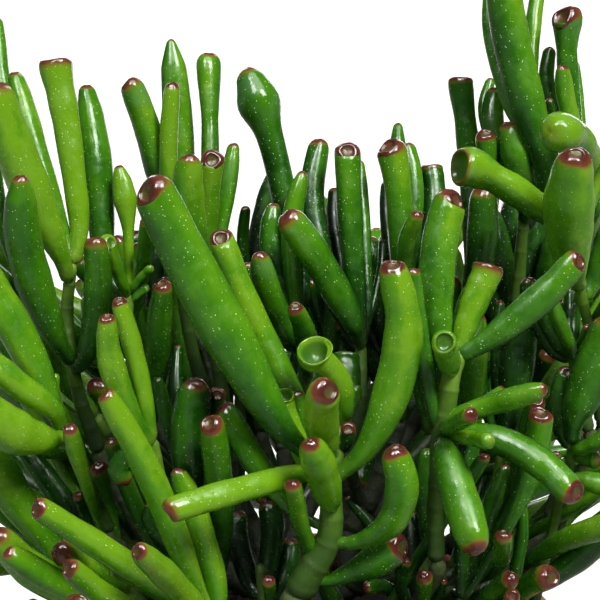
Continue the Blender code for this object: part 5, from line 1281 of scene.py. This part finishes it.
def shoot_stem_finish():
    """The green top of a stem, ringed with the scars of dropped leaves."""
    f = Finish("green_stem")
    run, scar, deep = f.mark("run"), f.mark("light"), f.mark("deep")
    cloud, grain = f.noise(160.0, 3.0), f.noise(1500.0, 4.0, 0.6)
    # painted shade: darker far inside the crown
    tone = run * 0.62 + (cloud - 0.5) * 0.6 + 0.20 - deep * 0.25
    body = f.colours(tone, ((0.0, (0.014, 0.040, 0.006)), (0.35, (0.044, 0.112, 0.009)),
                            (0.7, (0.105, 0.225, 0.013)), (1.0, (0.200, 0.340, 0.030))))
    body = f.mix(scar.ramp(0.45, 0.95) * 0.4, body, (0.042, 0.052, 0.012))
    body = f.mix(grain.ramp(0.58, 0.72) * 0.30, body, (0.17, 0.20, 0.09))
    return f.give(Base_Color=body, Roughness=0.5 + (grain - 0.5) * 0.3,
                  Normal=f.bump(grain * 0.7 + scar * 0.6, 0.5, 0.0003), IOR=1.42)


def bark_finish():
    """Old stem: olive to brown bark, painted almost black with shade in the middle of the crown."""
    f = Finish("old_stem_bark")
    scar, deep = f.mark("light"), f.mark("deep")
    cloud, grain = f.noise(110.0, 4.0), f.noise(1100.0, 5.0, 0.65)
    body = f.colours(cloud + (grain - 0.5) * 0.5,
                     ((0.25, (0.026, 0.040, 0.010)), (0.5, (0.056, 0.092, 0.018)),
                      (0.8, (0.104, 0.150, 0.034))))
    body = f.mix(scar.ramp(0.4, 0.9) * 0.6, body, (0.034, 0.022, 0.012))
    # painted shade: near black in the middle of the crown
    body = f.mix(deep.ramp(0.1, 0.9) * 0.80, body, (0.008, 0.012, 0.005))
    return f.give(Base_Color=body, Roughness=0.72 + (grain - 0.5) * 0.3,
                  Normal=f.bump(grain + scar * 0.5, 0.8, 0.0005), IOR=1.42)


def clay_finish():
    f = Finish("fired_clay")
    cloud, grain, speck = f.noise(26.0, 4.0), f.noise(700.0, 5.0, 0.65), f.noise(3200.0, 2.0)
    band = f.add("ShaderNodeSeparateXYZ", {}, {"Vector": f.place}, "Z")
    body = f.colours(cloud + (grain - 0.5) * 0.35,
                     ((0.25, (0.400, 0.140, 0.066)), (0.5, (0.500, 0.190, 0.092)),
                      (0.8, (0.590, 0.260, 0.140))))
    # a pale bloom on the clay near the pot's foot
    pale_patch = (1 - band.ramp(0.004, 0.030)) * cloud.ramp(0.40, 0.62) * 0.45
    body = f.mix(pale_patch, body, (0.66, 0.56, 0.46))
    body = f.mix(speck.ramp(0.62, 0.72) * 0.30, body, (0.20, 0.08, 0.05))
    return f.give(Base_Color=body, Roughness=0.82 + (grain - 0.5) * 0.2,
                  Normal=f.bump(grain + speck * 0.4, 0.45, 0.0004), IOR=1.45)


def soil_finish():
    f = Finish("potting_soil")
    cloud, grain = f.noise(300.0, 5.0, 0.65), f.noise(1600.0, 4.0, 0.6)
    body = f.colours(cloud * 0.6 + grain * 0.4, ((0.30, (0.010, 0.007, 0.005)), (0.52, (0.030, 0.019, 0.012)),
                                                 (0.75, (0.085, 0.058, 0.038))))
    return f.give(Base_Color=body, Roughness=0.93, Normal=f.bump(cloud + grain, 0.9, 0.0008), IOR=1.45)


# ---------------------------------------------------------------- pot and soil
POT_SIDES = 112
POT_FOOT_RADIUS = 0.0385
POT_RIM_RADIUS = 0.0575
DRAIN_HOLES = 3
DRAIN_RADIUS = 0.0040
DRAIN_CIRCLE = 0.019
DRILL_SIDES = 32
DRILL_LENGTH = 0.02
CREASE_ANGLE = math.radians(40)

SOIL_SIDES = 120
SOIL_FOOT = (0.0065, 0.0330)  # height and radius where the soil meets the pot's floor
SOIL_RADIUS = 0.050
SOIL_RINGS = 34
SOIL_CROWN = 0.0010           # how much higher the soil is at the trunk
CRUMBS = 420
CRUMB_REACH = 0.0485
CRUMB_SIZE = (0.0005, 0.0015)
LOOSE_FROM = 0.0740           # above this height the soil is lumpy
LUMP_HEIGHT = 0.00042
GRAIN_HEIGHT = 0.00025
SOIL_SEED = 5


def model_pot(clay):
    """The clay pot: pulled up from its foot, over the rim band and down the inside."""
    z, r = POT_HEIGHT, POT_RIM_RADIUS
    rings = [(0.0, POT_FOOT_RADIUS), (0.0004, 0.0394), (0.0014, 0.0400), (0.0300, 0.0454), (0.0655, 0.05165),
             (0.0662, 0.0520), (0.0664, 0.0526), (0.0665, 0.0556), (0.0669, 0.0563), (0.0677, 0.0566),
             (0.0760, 0.05705), (z - 0.0018, r), (z - 0.0007, r - 0.0004), (z - 0.0001, r - 0.0012),
             (z, r - 0.0023), (z - 0.0001, r - 0.0034), (z - 0.0007, r - 0.0043), (z - 0.0018, r - 0.0049),
             (0.0690, 0.0503), (0.0400, 0.0440), (0.0085, 0.0374), (0.0070, 0.0362), (POT_FLOOR, 0.0340),
             (POT_FLOOR, 0.00001)]
    pot = begin_ring("clay_pot", POT_SIDES, POT_FOOT_RADIUS, 0.0)
    pull_rings(rings[1:], 0.0, POT_FOOT_RADIUS)
    finish_ring(pot)
    for k in range(DRAIN_HOLES):
        turn = 2 * math.pi * (k + 0.25) / DRAIN_HOLES
        spot = (DRAIN_CIRCLE * math.cos(turn), DRAIN_CIRCLE * math.sin(turn), 0.0)
        bpy.ops.mesh.primitive_cylinder_add(vertices=DRILL_SIDES, radius=DRAIN_RADIUS, depth=DRILL_LENGTH,
                                            location=spot)
        drill = bpy.context.object
        rest_all()
        pot.select_set(True)
        bpy.context.view_layer.objects.active = pot
        cut = pot.modifiers.new("drain", "BOOLEAN")
        cut.operation = "DIFFERENCE"
        cut.solver = "EXACT"
        cut.object = drill
        bpy.ops.object.modifier_apply(modifier=cut.name)
        bpy.data.objects.remove(drill, do_unlink=True)
    bpy.ops.object.shade_smooth_by_angle(angle=CREASE_ANGLE)
    pot.data.materials.clear()
    pot.data.materials.append(clay)
    return pot


def soil_height(reach):
    """Height of the crowned soil at a distance from the trunk."""
    return SOIL_TOP + SOIL_CROWN * (1 - (reach / SOIL_RADIUS) ** 2)


def model_soil(earth):
    """The soil: a crumbly crowned top, with loose crumbs on it, round the foot of the trunk."""
    draw = random.Random(SOIL_SEED)
    foot_height, foot_radius = SOIL_FOOT
    wall = [(0.0068, 0.0350), (0.0400, 0.0430), (0.0690, 0.0492), (0.0735, 0.0503)]
    top = [(soil_height(r), r) for r in np.linspace(0.0496, 0.0012, SOIL_RINGS)]
    soil = begin_ring("potting_soil", SOIL_SIDES, foot_radius, foot_height)
    pull_rings(wall + top + [(SOIL_TOP + SOIL_CROWN, 0.00001)], foot_height, foot_radius)
    finish_ring(soil)
    for v in soil.data.vertices:
        if v.co.z > LOOSE_FROM:
            x, y = v.co.x * 1000.0, v.co.y * 1000.0
            lump = (math.sin(x * 0.9 + 1.3 * math.sin(y * 0.7)) * math.sin(y * 1.1 + 0.8 * math.sin(x * 0.5))
                    + 0.6 * math.sin(x * 2.3 + y * 1.7) * math.sin(y * 2.9 - x * 1.1))
            v.co.z += LUMP_HEIGHT * lump + draw.uniform(-GRAIN_HEIGHT, GRAIN_HEIGHT)
    rest_all()
    bpy.ops.mesh.primitive_ico_sphere_add(subdivisions=1, radius=1.0)
    lump = bpy.context.object
    shape = [tuple(v.co) for v in lump.data.vertices]
    sides = [tuple(f.vertices) for f in lump.data.polygons]
    bpy.data.objects.remove(lump, do_unlink=True)
    work = bmesh.new()
    work.from_mesh(soil.data)
    for _ in range(CRUMBS):
        reach = CRUMB_REACH * math.sqrt(draw.uniform(0.05, 1.0))
        turn = draw.uniform(0, 2 * math.pi)
        size = draw.uniform(*CRUMB_SIZE)
        spot = Vector((reach * math.cos(turn), reach * math.sin(turn), soil_height(reach) + size * 0.35))
        corners = [work.verts.new(spot + Vector(c) * size * draw.uniform(0.7, 1.2)) for c in shape]
        for side in sides:
            work.faces.new([corners[i] for i in side])
    work.to_mesh(soil.data)
    work.free()
    soil.data.materials.clear()
    soil.data.materials.append(earth)
    soil.data.polygons.foreach_set("use_smooth", [True] * len(soil.data.polygons))
    return soil


# ---------------------------------------------------------------- studio
FILM_WIDTH = 36.0             # millimetres
NEAREST_SIGHT = 0.01
FLOOR_WIDTH = 16.0
AIR_LIGHT = (0.09, 0.10, 0.09, 1.0)
BACKDROP = (1.0, 1.0, 1.0, 1.0)
LAMP_AIM = (0.0, 0.0, 0.15)
SUN_DISTANCE = 1.0
SOFTBOX_DISTANCE = 1.15
# even light for the matt part of every surface: strength, spread, bearing, height, tint
SUNS = {
    "key_light": (3.55, 20.0, 34.0, 48.0, (1.0, 0.985, 0.92)),
    "fill_light": (0.85, 50.0, -50.0, 42.0, (0.95, 1.0, 0.94)),
    "back_light": (1.3, 50.0, 172.0, 58.0, (1.0, 1.0, 1.0)),
}
# bright panels that the waxy skin mirrors: radiance, width, height of the panel, bearing, height
SOFTBOXES = {
    "top_softbox": (6.5, 0.95, 0.85, 16.0, 68.0),
    "right_kicker": (24.0, 0.40, 0.44, 36.0, 50.0),
    "left_kicker": (20.0, 0.32, 0.42, -36.0, 52.0),
    "right_strip": (3.0, 0.20, 1.00, 163.0, 14.0),
    "left_strip": (3.0, 0.20, 1.00, -163.0, 14.0),
}


def set_view():
    """The camera, with the front elevation filling its frame."""
    view = bpy.data.cameras.new("front_view")
    view.sensor_width = FILM_WIDTH
    view.lens = FILM_WIDTH * SIGHT_RANGE / (SHEET * UNIT)
    view.clip_start = NEAREST_SIGHT
    camera = bpy.data.objects.new("front_view", view)
    camera.location = EYE
    camera.rotation_euler = (math.pi / 2 - SIGHT_TILT, 0.0, 0.0)
    bpy.context.scene.collection.objects.link(camera)
    bpy.context.scene.camera = camera


def lay_floor():
    """A plain pale floor, darker to the light that it sends back up into the plant."""
    rest_all()
    bpy.ops.mesh.primitive_grid_add(x_subdivisions=8, y_subdivisions=8, size=FLOOR_WIDTH,
                                    location=(0.0, 0.0, 0.0))
    floor = bpy.context.object
    floor.name = "studio_floor"
    f = Finish("pale_floor")
    ray = f.add("ShaderNodeLightPath", {}, {}, "Is Camera Ray")
    f.give(Base_Color=f.mix(ray, (0.30, 0.30, 0.29), (0.93, 0.93, 0.93)), Roughness=0.95,
           Specular_IOR_Level=0.0)
    floor.data.materials.append(f.skin)


def aim(name, lamp, bearing, height, distance):
    """A lamp on a stand round the plant, turned to the crown."""
    holder = bpy.data.objects.new(name, lamp)
    way = Vector((math.cos(math.radians(height)) * math.sin(math.radians(bearing)),
                  -math.cos(math.radians(height)) * math.cos(math.radians(bearing)),
                  math.sin(math.radians(height))))
    holder.rotation_euler = way.to_track_quat("Z", "Y").to_euler()
    holder.location = Vector(LAMP_AIM) + way * distance
    bpy.context.scene.collection.objects.link(holder)
    return holder


def hang_sun(name, strength, spread, bearing, height, tint):
    """Even light for the matt part of every surface."""
    lamp = bpy.data.lights.new(name, "SUN")
    lamp.energy = strength
    lamp.angle = math.radians(spread)
    lamp.color = tint
    aim(name, lamp, bearing, height, SUN_DISTANCE).visible_glossy = False


def hang_softbox(name, radiance, wide, high, bearing, height):
    """A bright panel that the waxy skin mirrors."""
    lamp = bpy.data.lights.new(name, "AREA")
    lamp.shape = "RECTANGLE"
    lamp.size = wide
    lamp.size_y = high
    lamp.energy = radiance * math.pi * wide * high
    aim(name, lamp, bearing, height, SOFTBOX_DISTANCE).visible_diffuse = False


def fill_air():
    """A faint light from all round, in front of a white backdrop."""
    world = bpy.data.worlds.new("studio_air")
    bpy.context.scene.world = world
    world.use_nodes = True
    nodes, links = world.node_tree.nodes, world.node_tree.links
    ray = nodes.new("ShaderNodeLightPath")
    shade = nodes.new("ShaderNodeMix")
    shade.data_type = "RGBA"
    shade.inputs[6].default_value = AIR_LIGHT
    shade.inputs[7].default_value = BACKDROP
    links.new(ray.outputs["Is Camera Ray"], shade.inputs[0])
    links.new(shade.outputs[2], nodes["Background"].inputs["Color"])
    bpy.context.scene.view_settings.view_transform = "Standard"


def studio():
    """Camera, floor, lights and air."""
    set_view()
    lay_floor()
    for name, facts in SUNS.items():
        hang_sun(name, *facts)
    for name, facts in SOFTBOXES.items():
        hang_softbox(name, *facts)
    fill_air()


# ---------------------------------------------------------------- putting the plant together
def build():
    """Every finished piece, with the CAD piece that it stands for."""
    shoots, wood = grow()
    leaf, green, bark = leaf_finish(), shoot_stem_finish(), bark_finish()
    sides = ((LEAF_SIDES, OUTER_SIDES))
    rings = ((LEAF_RINGS, OUTER_RINGS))
    patterns = {form: (model_leaf(form, sides[0], rings[0]), model_leaf(form, sides[1], rings[1]))
                for form in TIP_RINGS}
    draw = random.Random(LEAF_SEED)
    for name, rods in shoots.items():
        parts = []
        for rod in rods:
            if rod.kind == "leaf":
                pattern = patterns[rod.facts["form"]][0 if rod.sighted else 1]
                placed, marks = bend_leaf(pattern, rod, draw)
                parts.append((placed, pattern[1], marks, 0))
            else:
                placed, faces, marks = skin_stem(rod, STEM_FACETS, draw)
                parts.append((placed, faces, marks, 1))
        piece = assemble("shoot_" + name, parts, (leaf, green))
        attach(piece, "root")
        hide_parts(name)
    parts = []
    for k, rod in enumerate(wood):
        facets = LIMB_FACETS if k else TRUNK_FACETS
        placed, faces, marks = skin_stem(rod, facets, draw, rings=BARK_SPACING, swell=BARK_SWELL)
        parts.append((placed, faces, marks, 0))
    stems = assemble("branching_stems", parts, (bark,))
    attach(stems, "root")
    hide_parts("stems")
    pot = model_pot(clay_finish())
    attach(pot, "root")
    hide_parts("pot")
    soil = model_soil(soil_finish())
    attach(soil, "root")
    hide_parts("soil")


studio()
build()
